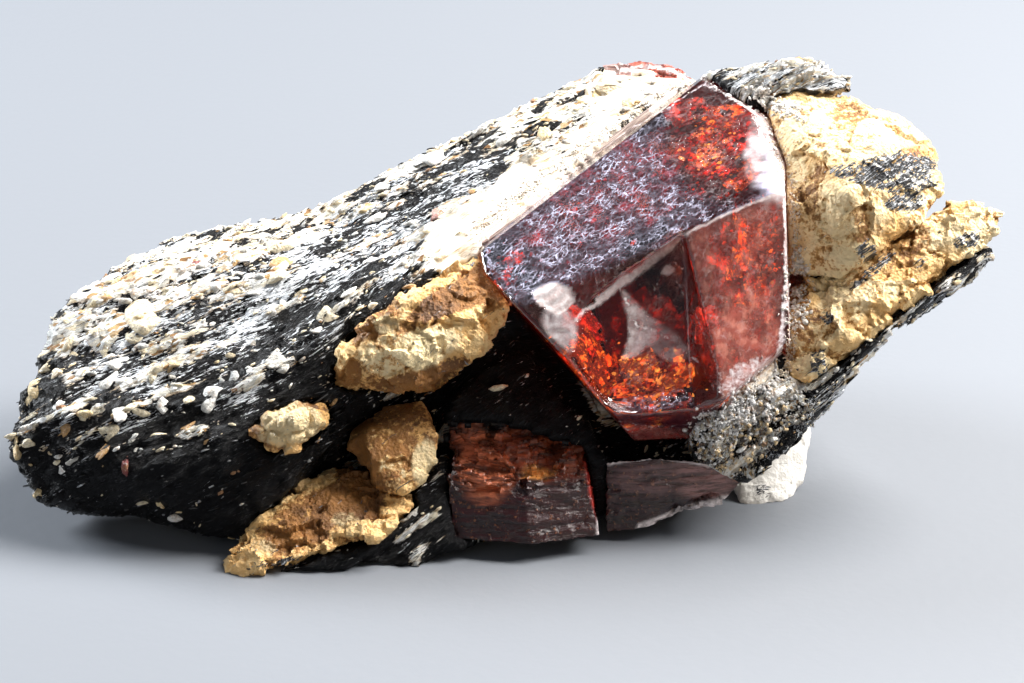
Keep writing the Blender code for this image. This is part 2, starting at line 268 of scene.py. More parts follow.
def note(mesh, name, values, kind="FLOAT"):
    """Keeps a value for each vertex that the finish reads."""
    attribute = mesh.attributes.new(name, kind, "POINT")
    field = {"FLOAT": "value", "FLOAT_VECTOR": "vector", "FLOAT_COLOR": "color"}[kind]
    attribute.data.foreach_set(field, np.asarray(values, np.float32).ravel())


def shade_smooth(mesh):
    mesh.polygons.foreach_set("use_smooth", [True] * len(mesh.polygons))
    mesh.update()


def tree_of(obj):
    mesh = obj.data
    return BVHTree.FromPolygons([v.co for v in mesh.vertices], [p.vertices[:] for p in mesh.polygons])


def seen_at(trees, across, up):
    """Where the line of sight through this place on the show plane first meets the specimen."""
    start = Vector(EYE) * MM
    way = (Vector(from_show([across, up, 0])) * MM - start).normalized()
    hits = [tree.ray_cast(start, way) for tree in trees]
    hits = [hit for hit in hits if hit[0] is not None]
    if not hits:
        return None
    place, normal, _, _ = min(hits, key=lambda hit: hit[3])
    return np.array(place) / MM, np.array(normal)


def spread_over(mesh, count, density, seed):
    """Random places on a mesh with their normals, thicker where density (read per face centre) is high."""
    mesh.calc_loop_triangles()
    corners = np.empty(len(mesh.loop_triangles) * 3, np.int32)
    mesh.loop_triangles.foreach_get("vertices", corners)
    points, normals = points_of(mesh), normals_of(mesh)
    corners = corners.reshape(-1, 3)
    a, b, c = points[corners].transpose(1, 0, 2)
    area = np.linalg.norm(np.cross(b - a, c - a), axis=1)
    weight = area * np.clip(density((a + b + c) / 3), 0, None)
    rng = np.random.default_rng(seed)
    chosen = rng.choice(len(corners), count, p=weight / weight.sum())
    u, v = rng.random((2, count, 1))
    flip = u + v > 1
    u, v = np.where(flip, 1 - u, u), np.where(flip, 1 - v, v)
    places = a[chosen] + u * (b - a)[chosen] + v * (c - a)[chosen]
    return places, unit(normals[corners[chosen, 0]])


def strew(name, shape, places, axes, sizes, tints=None, jitter=0.0, lumps=0.0, facets=0, seed=0):
    """One mesh of many copies of a small shape. axes holds three unit vectors a copy, sizes three lengths.

    jitter moves the corners of each copy, lumps swells and pinches it, and facets is how many flat breaks
    it gets.
    """
    points, faces = points_of(shape), [list(p.vertices) for p in shape.polygons]
    rng = np.random.default_rng(seed)
    count, each = len(places), len(points)
    local = np.repeat(points[None], count, 0)
    local = local * (1 + jitter * rng.standard_normal((count, each, 1)))
    for _ in range(2 if lumps else 0):
        wave = np.einsum("nvk,nk->nv", local, 2.4 * rng.standard_normal((count, 3)))
        local = local * (1 + lumps * np.sin(wave + 6.3 * rng.random((count, 1))))[..., None]
    for _ in range(facets):
        way = unit(rng.standard_normal((count, 3)))
        reach = 0.5 + 0.35 * rng.random((count, 1))
        over = np.clip(np.einsum("nvk,nk->nv", local, way) - reach, 0, None)
        local = local - over[..., None] * way[:, None, :]
    local = local * sizes[:, None, :]
    world = np.einsum("nvk,nkj->nvj", local, axes) + places[:, None, :]
    world = world.reshape(-1, 3)
    world[:, 2] = np.maximum(world[:, 2], 0.01)
    lengths = np.array([len(face) for face in faces])
    loops = np.concatenate([np.array(face) for face in faces])
    mesh = bpy.data.meshes.new(name)
    mesh.vertices.add(len(world))
    mesh.vertices.foreach_set("co", (world * MM).astype(np.float32).ravel())
    mesh.loops.add(len(loops) * count)
    all_loops = (loops[None] + np.arange(count)[:, None] * each).ravel()
    mesh.loops.foreach_set("vertex_index", all_loops.astype(np.int32))
    mesh.polygons.add(len(faces) * count)
    totals = np.tile(lengths, count)
    starts = np.concatenate([[0], np.cumsum(totals)[:-1]])
    mesh.polygons.foreach_set("loop_start", starts.astype(np.int32))
    mesh.polygons.foreach_set("loop_total", totals.astype(np.int32))
    mesh.update(calc_edges=True)
    mesh.validate()
    if tints is not None:
        colors = np.repeat(np.concatenate([tints, np.ones((count, 1))], 1), each, 0)
        note(mesh, "tint", colors, "FLOAT_COLOR")
    return link(bpy.data.objects.new(name, mesh))


def crumb_shape(name, subdivisions):
    """A ball of a few dozen faces, one unit from its middle to its skin."""
    bm = bmesh.new()
    bmesh.ops.create_icosphere(bm, subdivisions=subdivisions, radius=MM)
    mesh = bpy.data.meshes.new(name)
    bm.to_mesh(mesh)
    bm.free()
    return mesh


def plate_shape(name):
    """A thin six-sided plate of mica, one unit from its middle to its corners and to its faces."""
    bm = bmesh.new()
    bmesh.ops.create_circle(bm, cap_ends=True, segments=6, radius=MM)
    bmesh.ops.translate(bm, vec=(0, 0, -MM), verts=bm.verts)
    risen = bmesh.ops.extrude_face_region(bm, geom=bm.faces[:])
    top = [item for item in risen["geom"] if isinstance(item, bmesh.types.BMVert)]
    bmesh.ops.translate(bm, vec=(0, 0, 2 * MM), verts=top)
    bmesh.ops.recalc_face_normals(bm, faces=bm.faces)
    mesh = bpy.data.meshes.new(name)
    bm.to_mesh(mesh)
    bm.free()
    return mesh


def place_piece(obj, slot, material, *replaced):
    obj.data.materials.clear()
    obj.data.materials.append(material)
    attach(obj, ROOT)
    if replaced:
        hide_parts(*replaced)
    return obj


# ---------------------------------------------------------------- shader expressions

class Value:
    """A shader socket in a sum. Each operation adds its Math node."""

    def __init__(self, finish, socket):
        self.finish, self.socket = finish, socket

    def _math(self, operation, *terms, clamp=False):
        node = self.finish.node("ShaderNodeMath", {"operation": operation, "use_clamp": clamp}, *terms)
        return Value(self.finish, node.outputs[0])

    def __add__(self, other): return self._math("ADD", self, other)
    def __sub__(self, other): return self._math("SUBTRACT", self, other)
    def __mul__(self, other): return self._math("MULTIPLY", self, other)
    def __radd__(self, other): return self._math("ADD", other, self)
    def __rsub__(self, other): return self._math("SUBTRACT", other, self)
    def __rmul__(self, other): return self._math("MULTIPLY", other, self)
    def __abs__(self): return self._math("ABSOLUTE", self)
    def clamped(self): return self._math("ADD", self, 0.0, clamp=True)
    def larger(self, other): return self._math("MAXIMUM", self, other)

    def step(self, low, high):
        """0 under low and 1 over high, with a soft ramp. Turn them round for the opposite."""
        node = self.finish.node(
            "ShaderNodeMapRange", {"interpolation_type": "SMOOTHSTEP"},
            self, low, high, 0.0, 1.0)
        return Value(self.finish, node.outputs[0])


class Finish:
    """A material under construction."""

    def __init__(self, name):
        self.material = bpy.data.materials.new(name)
        self.material.use_nodes = True
        self.tree = self.material.node_tree
        self.tree.nodes.clear()
        self.output = self.tree.nodes.new("ShaderNodeOutputMaterial")

    def node(self, kind, settings=None, *terms, **named):
        made = self.tree.nodes.new(kind)
        for key, value in (settings or {}).items():
            if key == "stops":
                self._set_stops(made.color_ramp, value)
            else:
                setattr(made, key, value)
        for key, value in list(enumerate(terms)) + list(named.items()):
            self._feed(made.inputs[key.replace("_", " ") if isinstance(key, str) else key], value)
        return made

    def _feed(self, socket, value):
        if isinstance(value, Value):
            value = value.socket
        if isinstance(value, bpy.types.NodeSocket):
            self.tree.links.new(value, socket)
        elif socket.type == "RGBA" and len(value) == 3:
            socket.default_value = (*value, 1)
        else:
            socket.default_value = value

    def _set_stops(self, ramp, stops):
        while len(ramp.elements) > 1:
            ramp.elements.remove(ramp.elements[-1])
        for number, (position, color) in enumerate(stops):
            element = ramp.elements[0] if number == 0 else ramp.elements.new(position)
            element.position = position
            element.color = (*color, 1)

    def value(self, socket):
        return Value(self, socket)

    def place(self):
        """Object coordinates in millimetres."""
        return self.stretched(self.node("ShaderNodeTexCoord").outputs["Object"], (1 / MM, 1 / MM, 1 / MM))

    def noted(self, name, output):
        """A vector or colour that the piece carries on its vertices."""
        return self.node("ShaderNodeAttribute", {"attribute_name": name}).outputs[output]

    def share(self, name):
        """A single value that the piece carries on its vertices."""
        return self.value(self.noted(name, "Fac"))

    def stretched(self, vector, scale):
        return self.node("ShaderNodeVectorMath", {"operation": "MULTIPLY"}, vector, scale).outputs[0]

    def warped(self, vector, amount):
        """The vector pushed about by three values."""
        push = self.node("ShaderNodeCombineXYZ", None, *amount).outputs[0]
        return self.node("ShaderNodeVectorMath", {"operation": "ADD"}, vector, push).outputs[0]

    def noise(self, vector, scale, detail=4.0, rough=0.55, warp=0.0):
        made = self.node("ShaderNodeTexNoise", {"noise_dimensions": "3D"}, Vector=vector, Scale=scale,
                         Detail=detail, Roughness=rough, Distortion=warp)
        return self.value(made.outputs["Fac"])

    def cells(self, vector, scale, feature="F1", output="Distance"):
        made = self.node("ShaderNodeTexVoronoi", {"feature": feature}, Vector=vector, Scale=scale)
        return made.outputs[output] if output == "Color" else self.value(made.outputs[output])

    def mix(self, share, first, second, blend="MIX"):
        made = self.node("ShaderNodeMix", {"data_type": "RGBA", "blend_type": blend, "clamp_factor": True})
        self._feed(made.inputs[0], share)
        self._feed(made.inputs[6], first)
        self._feed(made.inputs[7], second)
        return made.outputs[2]

    def ramp(self, share, stops):
        return self.node("ShaderNodeValToRGB", {"stops": stops}, share).outputs["Color"]

    def bump(self, height, distance, strength=1.0):
        """Small relief, its distance in millimetres."""
        return self.node("ShaderNodeBump", None, Height=height, Distance=distance * MM,
                         Strength=strength).outputs["Normal"]

    def surface(self, **sockets):
        return self.node("ShaderNodeBsdfPrincipled", None, **sockets).outputs[0]

    def blend(self, share, first, second):
        made = self.node("ShaderNodeMixShader", None, share)
        self.tree.links.new(first, made.inputs[1])
        self.tree.links.new(second, made.inputs[2])
        return made.outputs[0]

    def done(self, surface, volume=None):
        self.tree.links.new(surface, self.output.inputs["Surface"])
        if volume is not None:
            self.tree.links.new(volume, self.output.inputs["Volume"])
        return self.material


# Zones of the rock: middle (across, up), half length, half width, turn in degrees, share of pale grains.
ROCK_ZONES = (
    (-22.6, 1.6, 7.2, 5.0, 28, 0.72),  # left flank
    (-14.5, 7.3, 13.1, 1.7, 22, 0.68),  # crest
    (-17.0, -0.8, 7.5, 2.4, 35, 0.4),  # front streaks
    (-21.4, -9.4, 9.4, 3.2, 5, 0.06),  # black foot of the left end
    (-24.5, -2.6, 4.6, 1.7, 12, 0.5),  # darker streaks under it
    (-25.1, -5.0, 6.2, 1.5, -5, 0.5),  # rows of grains
    (1.2, 10.2, 8.6, 1.8, 36.5, 0.93),  # white band beside the main crystal
    (-3.2, 6.4, 2.4, 2.0, 30, 0.95),  # pale ground left of the main crystal
    (-3.0, 9.9, 2.9, 0.7, 25, 0.08),  # black streak above it
    (2.7, 14.6, 5.0, 1.7, 36, 0.66),  # crest behind
    (8.6, 16.3, 3.8, 1.5, 8, 0.93),  # blocks of feldspar behind the main crystal
    (-13.9, -7.5, 5.6, 1.8, 46, 0.03),  # band of mica under the lens
    # The hollow is made dark: black mica and painted shade.
    (0.6, -2.7, 4.7, 3.6, 0, 0.03),  # hollow
    # Under the ledge the rock is made dark as painted shadow.
    (-10.1, -13.6, 5.9, 0.9, 8, 0.15),  # under the ledge
    (-5.2, -11.8, 2.2, 2.4, 0, 0.4),  # beside the ledge
    (14.6, -4.9, 3.6, 3.8, 0, 0.8),  # crust
    (22.2, -1.7, 10.3, 1.4, 43, 0.5),  # rim
    (17.8, 3.2, 0.8, 6.9, 0, 0.97),  # seam right of the main crystal
    (18.8, -0.2, 1.4, 2.5, 0, 0.75),  # above the crust
    (17.1, 16.6, 4.5, 1.5, -5, 0.62),  # cap
)
CRUST_ZONE = (14.6, -4.9, 3.4, 3.6, 0)  # where the rock is sugary, with no layers

# Grains that stand out on the show side: across, up, length, height, turn in degrees, colour.
SHOWN_GRAINS = (
    (-21.1, 5.6, 4.4, 1.4, 5, "cream"), (-19.4, 4.8, 0.9, 0.5, 0, "garnet"),
    (-29.6, -3.2, 1.6, 1.4, 0, "yellow"), (-29.4, -0.7, 0.6, 0.5, 0, "cream"),
    (-31.1, -6.3, 0.6, 1.2, 0, "yellow"), (-30.3, -6.5, 1.1, 0.6, 20, "cream"),
    (-29.5, -9.6, 0.9, 0.8, 0, "yellow"), (-30.8, -8.3, 0.5, 0.5, 0, "white"),
    (-27.9, -5.5, 1.8, 0.9, 20, "amber"), (-25.1, -5.7, 1.9, 1.1, 10, "cream"),
    (-23.4, -4.5, 1.6, 0.9, 0, "cream"), (-21.7, -4.2, 1.4, 1.1, 0, "white"),
    (-24.6, -4.4, 1.0, 0.8, 0, "white"), (-18.6, -4.0, 1.5, 1.6, 0, "white"),
    (-18.2, -2.4, 0.9, 0.9, 0, "grey"), (-17.3, -2.2, 0.9, 1.0, 0, "grey"),
    (-14.7, -0.9, 1.4, 1.2, 0, "quartz"), (-16.1, -0.2, 0.9, 0.8, 0, "quartz"),
    (-17.7, -0.8, 0.9, 0.8, 0, "cream"), (-15.1, 1.7, 0.8, 0.6, 0, "white"),
    (-14.2, 2.3, 0.6, 0.6, 0, "white"), (-11.2, 1.5, 1.9, 1.4, 15, "cream"),
    # The quartz grain at (-27.3, -7.4), the amber one at (-25.6, -6.8) and the rust ones at (-17.4, -8.2)
    # and (-18.1, -9.4) get darker kinds as painted shade.
    (-24.2, -8.0, 0.4, 1.1, 0, "garnet"), (-27.3, -7.4, 1.0, 0.5, 30, "quartz"),
    (-25.6, -6.8, 1.0, 0.4, 35, "amber"), (-20.3, -5.3, 1.9, 0.8, 30, "amber"),
    (-22.0, -6.0, 0.9, 0.5, 10, "cream"), (-22.8, 1.8, 2.5, 1.8, 10, "cream"),
    (-23.9, 0.3, 1.5, 0.8, 0, "cream"), (-23.2, 3.1, 1.9, 1.1, 15, "white"),
    (-25.3, -2.4, 1.5, 1.5, 0, "white"), (-25.4, -0.7, 0.9, 0.8, 0, "cream"),
    (-22.0, 2.3, 1.2, 0.9, 0, "white"), (-14.7, 4.5, 1.9, 1.1, 20, "cream"),
    (-16.1, 6.0, 1.9, 0.9, 15, "white"), (-12.5, 6.5, 2.5, 0.7, 18, "white"),
    (-26.2, -3.3, 1.2, 0.6, 0, "white"), (-28.2, -4.0, 0.9, 0.6, 0, "white"),
    (-22.0, -10.2, 0.6, 0.5, 0, "yellow"), (-20.8, -10.7, 0.6, 0.4, 0, "yellow"),
    (-19.7, -10.2, 0.5, 0.4, 0, "cream"), (-22.3, -11.6, 0.6, 0.4, 0, "yellow"),
    (-17.4, -8.2, 0.8, 0.4, 30, "rust"), (-18.1, -9.4, 0.8, 0.3, 30, "rust"),
    (-5.9, 11.8, 0.9, 0.8, 0, "white"), (-4.7, 11.5, 1.9, 0.9, 15, "white"),
    (-9.7, 9.5, 1.0, 0.6, 10, "cream"), (-9.2, 10.3, 0.9, 0.6, 0, "white"),
    (-8.2, 9.8, 1.0, 0.7, 0, "white"), (-1.9, 13.1, 0.9, 0.6, 0, "white"),
    (-0.4, 12.6, 1.5, 0.9, 20, "white"), (1.9, 12.9, 1.2, 1.1, 30, "yellow"),
    (6.4, 16.1, 1.7, 1.0, 20, "cream"), (8.0, 15.7, 1.5, 0.9, 10, "white"),
    (9.7, 16.0, 1.4, 0.8, -5, "cream"), (7.2, 15.0, 1.1, 0.7, 30, "yellow"),
    (9.1, 16.7, 1.0, 0.4, -5, "white"), (10.6, 15.6, 0.7, 0.5, 0, "white"),
    (3.1, 15.9, 2.2, 1.4, 55, "cream"), (5.3, 15.3, 1.6, 0.9, 80, "yellow"),
    (0.6, 14.2, 0.9, 0.6, 0, "white"), (5.0, 17.3, 1.0, 0.6, 0, "grey"), (-4.8, 7.9, 0.9, 0.8, 0, "pink"),
    (-8.4, 7.8, 1.8, 0.6, 20, "white"), (-11.2, 6.7, 1.2, 0.6, 15, "cream"),
    (-14.8, 5.9, 2.1, 0.9, 15, "cream"), (-14.2, 4.8, 1.6, 0.9, 20, "amber"),
    (-11.4, 8.1, 0.8, 0.5, 0, "cream"), (-15.1, 1.8, 0.8, 0.6, 0, "white"),
    (-6.9, 5.1, 0.9, 0.5, 30, "white"), (-26.8, 2.6, 1.4, 0.8, 30, "white"),
    (-27.6, 1.5, 1.0, 0.6, 30, "cream"), (-25.0, 4.0, 1.6, 0.8, 20, "white"),
    (-26.1, 0.7, 1.2, 0.9, 25, "cream"), (-20.8, 3.5, 2.1, 0.9, 10, "cream"),
    (-18.6, 2.6, 1.6, 0.6, 15, "white"), (-24.2, -1.5, 1.9, 0.9, -10, "white"),
    (-22.6, -1.9, 1.2, 0.8, 0, "cream"), (-27.3, -0.7, 1.1, 0.8, 0, "cream"),
    (-26.7, -1.9, 1.0, 0.8, 0, "white"), (-28.4, -2.1, 0.9, 0.8, 0, "cream"),
    (-19.5, 1.0, 1.4, 0.6, 20, "white"), (-10.4, 3.2, 1.6, 0.6, 30, "white"),
    (-12.0, 3.8, 1.4, 0.5, 28, "cream"), (-8.9, 5.0, 1.2, 0.5, 32, "white"),
    (-13.2, 3.1, 1.1, 0.5, 30, "cream"), (-16.4, -1.9, 0.9, 0.5, 30, "white"),
    (-20.1, -1.2, 1.0, 0.5, 20, "cream"), (-19.2, -6.2, 1.0, 0.35, 25, "amber"),
    (-23.2, -6.7, 0.8, 0.35, 20, "quartz"), (-28.9, -7.1, 0.8, 0.5, 10, "cream"),
    (-28.2, -8.0, 0.9, 0.6, 10, "white"), (-26.7, -4.8, 0.9, 0.6, 0, "cream"),
    (-20.1, -3.5, 0.9, 0.6, 0, "cream"),
)

# Iron stains, bleached and clear patches and mica on the feldspar, as the zones of the rock. A few stains
# are painted shade, and several pale zones are painted light.
STAINED_ZONES = (
    (-3.6, 2.6, 2.9, 0.9, 25, 1.3), (-1.5, 3.4, 1.4, 1.3, 0, 1.3), (-8.6, 1.3, 1.8, 0.7, 30, 0.6),
    # The last zone below darkens the knob's left facet: painted shade.
    (-10.0, -2.2, 1.5, 0.8, 10, 0.5), (-7.8, -4.9, 2.7, 1.2, 0, 1.0), (-9.5, -7.9, 1.2, 1.7, -15, 2.4),
    # The first two zones below and the one at (-11.0, -10.4) darken the ledge: iron stain and painted
    # shade.
    (-9.4, -9.6, 2.6, 0.8, 20, 0.85), (-12.6, -11.0, 3.6, 1.1, 24, 0.8), (-14.0, -5.0, 2.4, 1.6, 10, 0.9),
    (-5.8, -2.4, 3.8, 0.7, 18, 0.85), (-7.0, -6.3, 2.4, 1.0, 0, 0.7), (-5.5, -7.6, 1.0, 1.9, 0, 0.65),
    (18.5, 8.6, 1.0, 1.3, 0, 0.5), (20.6, 7.5, 1.6, 0.7, 15, 0.3),
    (-11.0, -10.4, 3.6, 1.4, 24, 1.0),
    (18.9, 5.6, 1.5, 1.8, 10, 0.15), (22.4, 6.9, 2.2, 0.5, 20, 0.4), (20.9, 8.4, 1.2, 1.9, 0, 0.1),
    (24.6, 6.3, 2.1, 1.2, 40, 0.35), (21.8, 3.5, 1.9, 1.0, 40, 0.25), (-12.1, -12.1, 0.6, 0.4, 0, 0.8),
    (-14.2, -6.2, 1.2, 0.5, 10, 0.5), (24.6, 11.6, 1.6, 0.7, 0, 0.5), (18.6, 1.2, 0.9, 1.2, 0, 0.6),
)

BLEACHED_AND_PAINTED_LIGHT_ZONES = (
    # Pale zones on the shoulder brighten its top and its side in the overhang's shade: painted light along
    # with bleached patches.
    (20.8, 13.2, 4.4, 1.9, -8, 0.95), (25.8, 8.2, 1.4, 2.8, 15, 0.8), (29.4, 7.0, 2.2, 1.6, 20, 0.9),
    (-6.6, -0.6, 3.2, 1.4, 15, 0.9), (20.2, 5.0, 2.2, 1.8, 0, 0.8), (-12.4, -12.0, 3.0, 0.9, 24, 0.5),
    (17.6, 9.0, 1.0, 3.2, 0, 0.7), (18.6, -0.8, 1.4, 1.4, 30, 0.7), (20.8, 8.0, 3.0, 2.1, 10, 0.6),
    # The last two zones below, on the knob, are painted highlights.
    (20.6, 2.0, 2.8, 1.2, 42, 0.8), (-9.0, -6.0, 0.6, 0.5, 0, 1.3), (-7.4, -8.3, 0.7, 0.8, 0, 1.3),
)

CLEAR_ZONES = (
    (-5.8, -0.5, 1.5, 1.2, 0, 0.85), (-7.9, 1.0, 0.9, 0.6, 0, 0.6), (-3.9, 0.7, 0.8, 0.6, 0, 0.5),
    (19.9, 3.5, 1.1, 0.9, 30, 0.8), (23.6, 3.2, 0.6, 0.6, 0, 0.8), (-5.4, -7.8, 0.9, 1.6, 0, 0.8),
    (-10.4, -11.2, 1.0, 0.6, 0, 0.5), (-15.6, -12.9, 0.9, 0.6, 0, 0.5), (18.0, 13.2, 1.1, 0.9, 0, 0.4),
    (24.6, 12.6, 1.1, 0.6, 0, 0.5), (-13.8, -5.3, 2.0, 1.3, 10, 0.7),
)

MICA_ZONES = (
    (23.8, 10.6, 2.6, 1.1, 8, 0.98), (24.5, 8.7, 1.2, 0.6, 8, 0.95), (22.1, 5.7, 0.6, 0.6, 0, 0.85),
    (28.4, 6.3, 0.9, 0.4, 20, 0.98), (19.7, 1.5, 0.4, 0.4, 0, 0.9), (-13.9, -14.0, 2.5, 0.5, 5, 0.6),
    (20.8, 10.8, 0.8, 0.3, 20, 0.7), (15.6, -9.4, 0.6, 0.5, 0, 1.4), (25.8, 5.0, 0.9, 0.3, 35, 0.5),
    (-2.6, 5.0, 0.5, 0.4, 0, 0.5), (19.2, -1.2, 0.5, 0.9, 0, 0.6),
    (21.0, 10.2, 1.0, 0.3, -20, 0.8), (22.6, 4.4, 2.0, 0.3, 42, 0.75), (25.0, 9.6, 1.6, 0.3, 10, 0.8),
)

# Worn edges of the main crystal, on the show plane. The white line along the upper rim is also a painted
# highlight.
RIDGE = ((2.9, 0.4), (5.5, 2.6), (8.0, 4.5), (10.6, 6.6), (13.6, 8.1), (17.1, 9.5))
UPPER_RIM = ((-2.0, 6.3), (1.8, 9.3), (6.8, 12.9), (11.9, 16.0))
NOTCH_EDGE = ((10.8, 6.7), (11.9, 2.6), (13.2, -3.6))
SHELL_CRACK = ((8.9, 3.1), (9.3, 4.3), (10.1, 5.0), (11.1, 4.1))
BAND_EDGE = ((9.8, 4.5), (10.2, 3.9), (11.3, 2.1), (12.2, -0.1), (12.9, -1.7), (13.4, -3.4))
RIGHT_RIM = ((17.1, 9.5), (17.2, 5.1), (16.9, 0.7), (16.5, -2.4))
TOP_RIM = ((12.1, 16.1), (14.6, 14.8), (16.0, 13.3), (17.1, 9.5))
LOWER_RIM = ((-1.8, 5.3), (0.0, 2.1), (3.0, -1.7), (5.6, -4.9), (8.0, -5.9))
FOOT_RIM = ((5.6, -4.8), (8.6, -5.3), (11.1, -5.2), (13.2, -3.6))

# The joint beside the main crystal's upper edge, and the worn strip that covers it.
BEVEL_LINE, BEVEL_WIDTH, BEVEL_SIDES = ((-2.35, 5.95), (11.5, 16.5)), 0.3, 10

# The milky veil in the main crystal's hollow break: its spikes as a line, its parts as outlines.
VEIL_SPIKES = ((6.6, 3.6), (7.2, 2.4), (7.8, 1.0), (9.0, 0.6), (10.4, -0.2), (11.6, -1.4))
VEIL_PARTS = (
    ((6.9, 3.3), (8.6, 1.6), (8.6, -0.4), (7.4, 0.1)),
    ((8.5, 1.7), (10.2, 0.6), (11.3, -0.6), (10.4, -1.7), (8.5, -0.4)),
    ((7.3, 0.3), (8.6, -0.3), (7.7, -1.0), (6.9, -1.1)),
)

# The nose of the feldspar knob, as a line.
KNOB_NOSE = ((-8.8, -6.2), (-8.2, -8.4), (-7.3, -9.8))

# Where the mica gets painted silvery streaks for its sheen, as the zones of the rock.
PAINTED_SHEEN_ZONES = (
    (-22.5, 1.5, 8.0, 5.0, 30, 0.8), (-9.5, 6.0, 10.5, 3.0, 33, 0.9), (17.0, 16.7, 4.6, 1.7, -5, 1.1),
    (-25.0, -4.5, 5.0, 1.5, 15, 0.5), (-14.0, -0.5, 6.0, 2.0, 40, 0.5), (14.6, -4.9, 3.4, 3.6, 0, 0.3),
    (-16.6, 2.4, 2.4, 0.8, 35, 1.1), (-21.0, -9.0, 9.0, 3.0, 5, 0.1), (22.2, -1.7, 10.3, 1.4, 43, 0.6),
)

# The main crystal's outline from the eye.
CRYSTAL_OUTLINE = (
    (-2.1, 6.3), (12.1, 16.1), (16.0, 13.3), (17.2, 9.5), (17.1, 0.7), (16.5, -2.4), (11.2, -5.9),
    (8.0, -6.1), (5.5, -5.0),
)
FOOT_STRIP = ((5.4, -4.8), (8.6, -5.2), (11.1, -5.1), (12.0, -6.5), (8.0, -7.5), (4.5, -6.5))
UPPER_PART = (
    (-2.1, 6.3), (12.1, 16.1), (16.0, 13.3), (17.1, 9.5), (10.6, 6.6), (5.5, 2.6), (2.9, 0.4), (0.0, 2.4),
)
RIGHT_FACE = ((10.8, 6.7), (17.1, 9.5), (17.2, 5.1), (16.5, -2.4), (13.2, -3.6))

# Sparks of light on cracks inside the main crystal, painted as small glowing plates, as the zones of the
# rock, then their number and colour.
SPARK_ZONES = (
    (12.4, 12.3, 1.6, 2.2, 20, 420, "gold"),
    (13.6, 11.6, 2.6, 3.0, 20, 260, "red"),
    (11.8, 9.2, 1.2, 1.2, 0, 50, "red"),
    (-0.2, 4.6, 1.4, 1.8, 0, 70, "red"),
    (4.2, -1.3, 0.6, 1.5, 45, 70, "amber"),
    (8.6, -2.7, 3.2, 2.2, 0, 380, "gold"),
    (16.0, 6.0, 1.0, 3.2, 0, 220, "amber"),
    (5.5, -2.7, 1.6, 1.6, 45, 200, "amber"),
    (14.1, 3.2, 1.8, 3.5, 0, 200, "red"),
    (6.0, 8.6, 6.4, 2.6, 37, 90, "red"),
)

# Healed cracks inside the main crystal, which glow with painted light: across, up, depth, half length, half
# width, turn and tilt in degrees, how whole the sheet is, colour. Ember and wine sheets give a painted deep
# red glow.
CRACKS = (
    (12.3, 12.2, 0.9, 2.2, 1.7, 65, 10, 0.12, "gold"),
    (13.4, 12.4, 1.7, 3.6, 2.8, 60, -12, 0.4, "red"),
    (11.0, 14.4, 1.1, 1.8, 1.2, 25, 8, 0.2, "red"),
    (13.4, 14.0, 0.8, 1.7, 1.2, -40, 10, 0.3, "amber"),
    (14.6, 10.6, 0.9, 2.3, 1.1, 55, 20, 0.1, "amber"),
    (8.8, -2.6, 1.2, 3.4, 2.4, 20, 18, 0.2, "gold"),
    (7.2, -3.6, 0.7, 2.2, 1.2, -20, 20, 0.15, "amber"),
    (5.8, -1.2, 1.0, 3.0, 1.5, -50, -20, 0.15, "amber"),
    (4.8, 0.4, 1.1, 2.0, 1.3, -40, 10, 0.3, "red"),
    (4.9, -1.6, 0.6, 2.6, 0.9, -55, 10, 0.25, "amber"),
    (9.6, -3.4, 0.7, 2.4, 1.2, 10, 25, 0.05, "amber"),
    (8.4, -0.4, 2.8, 4.6, 3.8, 30, 5, 0.8, "ember"),
    (14.8, 5.2, 0.8, 4.2, 1.5, 84, 15, 0.15, "amber"),
    (13.2, 3.4, 1.5, 4.2, 1.8, 78, -12, 0.1, "red"),
    (15.6, 2.2, 1.2, 3.8, 1.0, 88, 12, 0.0, "rose"),
    (14.4, 3.0, 2.6, 6.0, 3.0, 85, 4, 0.8, "ember"),
    (3.6, -1.6, 0.8, 3.4, 0.7, -52, 10, 0.0, "amber"),
    (0.4, 4.6, 1.2, 2.2, 1.6, 30, 10, -0.15, "red"),
    (7.0, 9.6, 3.2, 8.4, 4.4, 37, 6, 0.9, "wine"),
    (8.0, 0.6, 0.5, 1.4, 0.8, 60, 25, 0.1, "smoke"),
)

GRAIN_COLORS = {
    "white": (0.93, 0.92, 0.88),
    "cream": (0.84, 0.73, 0.51),
    "yellow": (0.78, 0.60, 0.32),
    "amber": (0.58, 0.33, 0.12),
    "grey": (0.42, 0.44, 0.44),
    "quartz": (0.55, 0.53, 0.48),
    "pink": (0.66, 0.33, 0.28),
    "garnet": (0.22, 0.02, 0.02),
    "rust": (0.34, 0.16, 0.06),
}
PAINTED_GLOW_COLORS = {
    "gold": (2.0, 0.84, 0.16), "amber": (1.8, 0.42, 0.06), "red": (1.2, 0.09, 0.04),
    "rose": (0.9, 0.42, 0.32), "smoke": (0.6, 0.45, 0.42), "ember": (0.42, 0.03, 0.012),
    "wine": (0.34, 0.02, 0.06),
}

ZIRCONS = ("zircon_main", "zircon_lower_left", "zircon_lower_right", "zircon_rear")
FELDSPARS = (
    "feldspar_lens", "feldspar_knob", "feldspar_ledge", "feldspar_nugget", "feldspar_shoulder",
    "feldspar_tongue", "feldspar_foot",
)
# How much of the relief of their skin the smoother lumps keep.
SOFTER_RELIEF = {
    "feldspar_foot": 0.25, "feldspar_knob": 0.4, "feldspar_nugget": 0.4, "feldspar_shoulder": 0.7,
}


# ---------------------------------------------------------------- reading the zones

def sighted(points):
    """Across and up of the place on the show plane that hides or shows each point from the eye."""
    across, up, deep = to_show(points).T
    scale = EYE_DISTANCE / (EYE_DISTANCE + deep)
    return np.stack([across * scale, up * scale], 1)


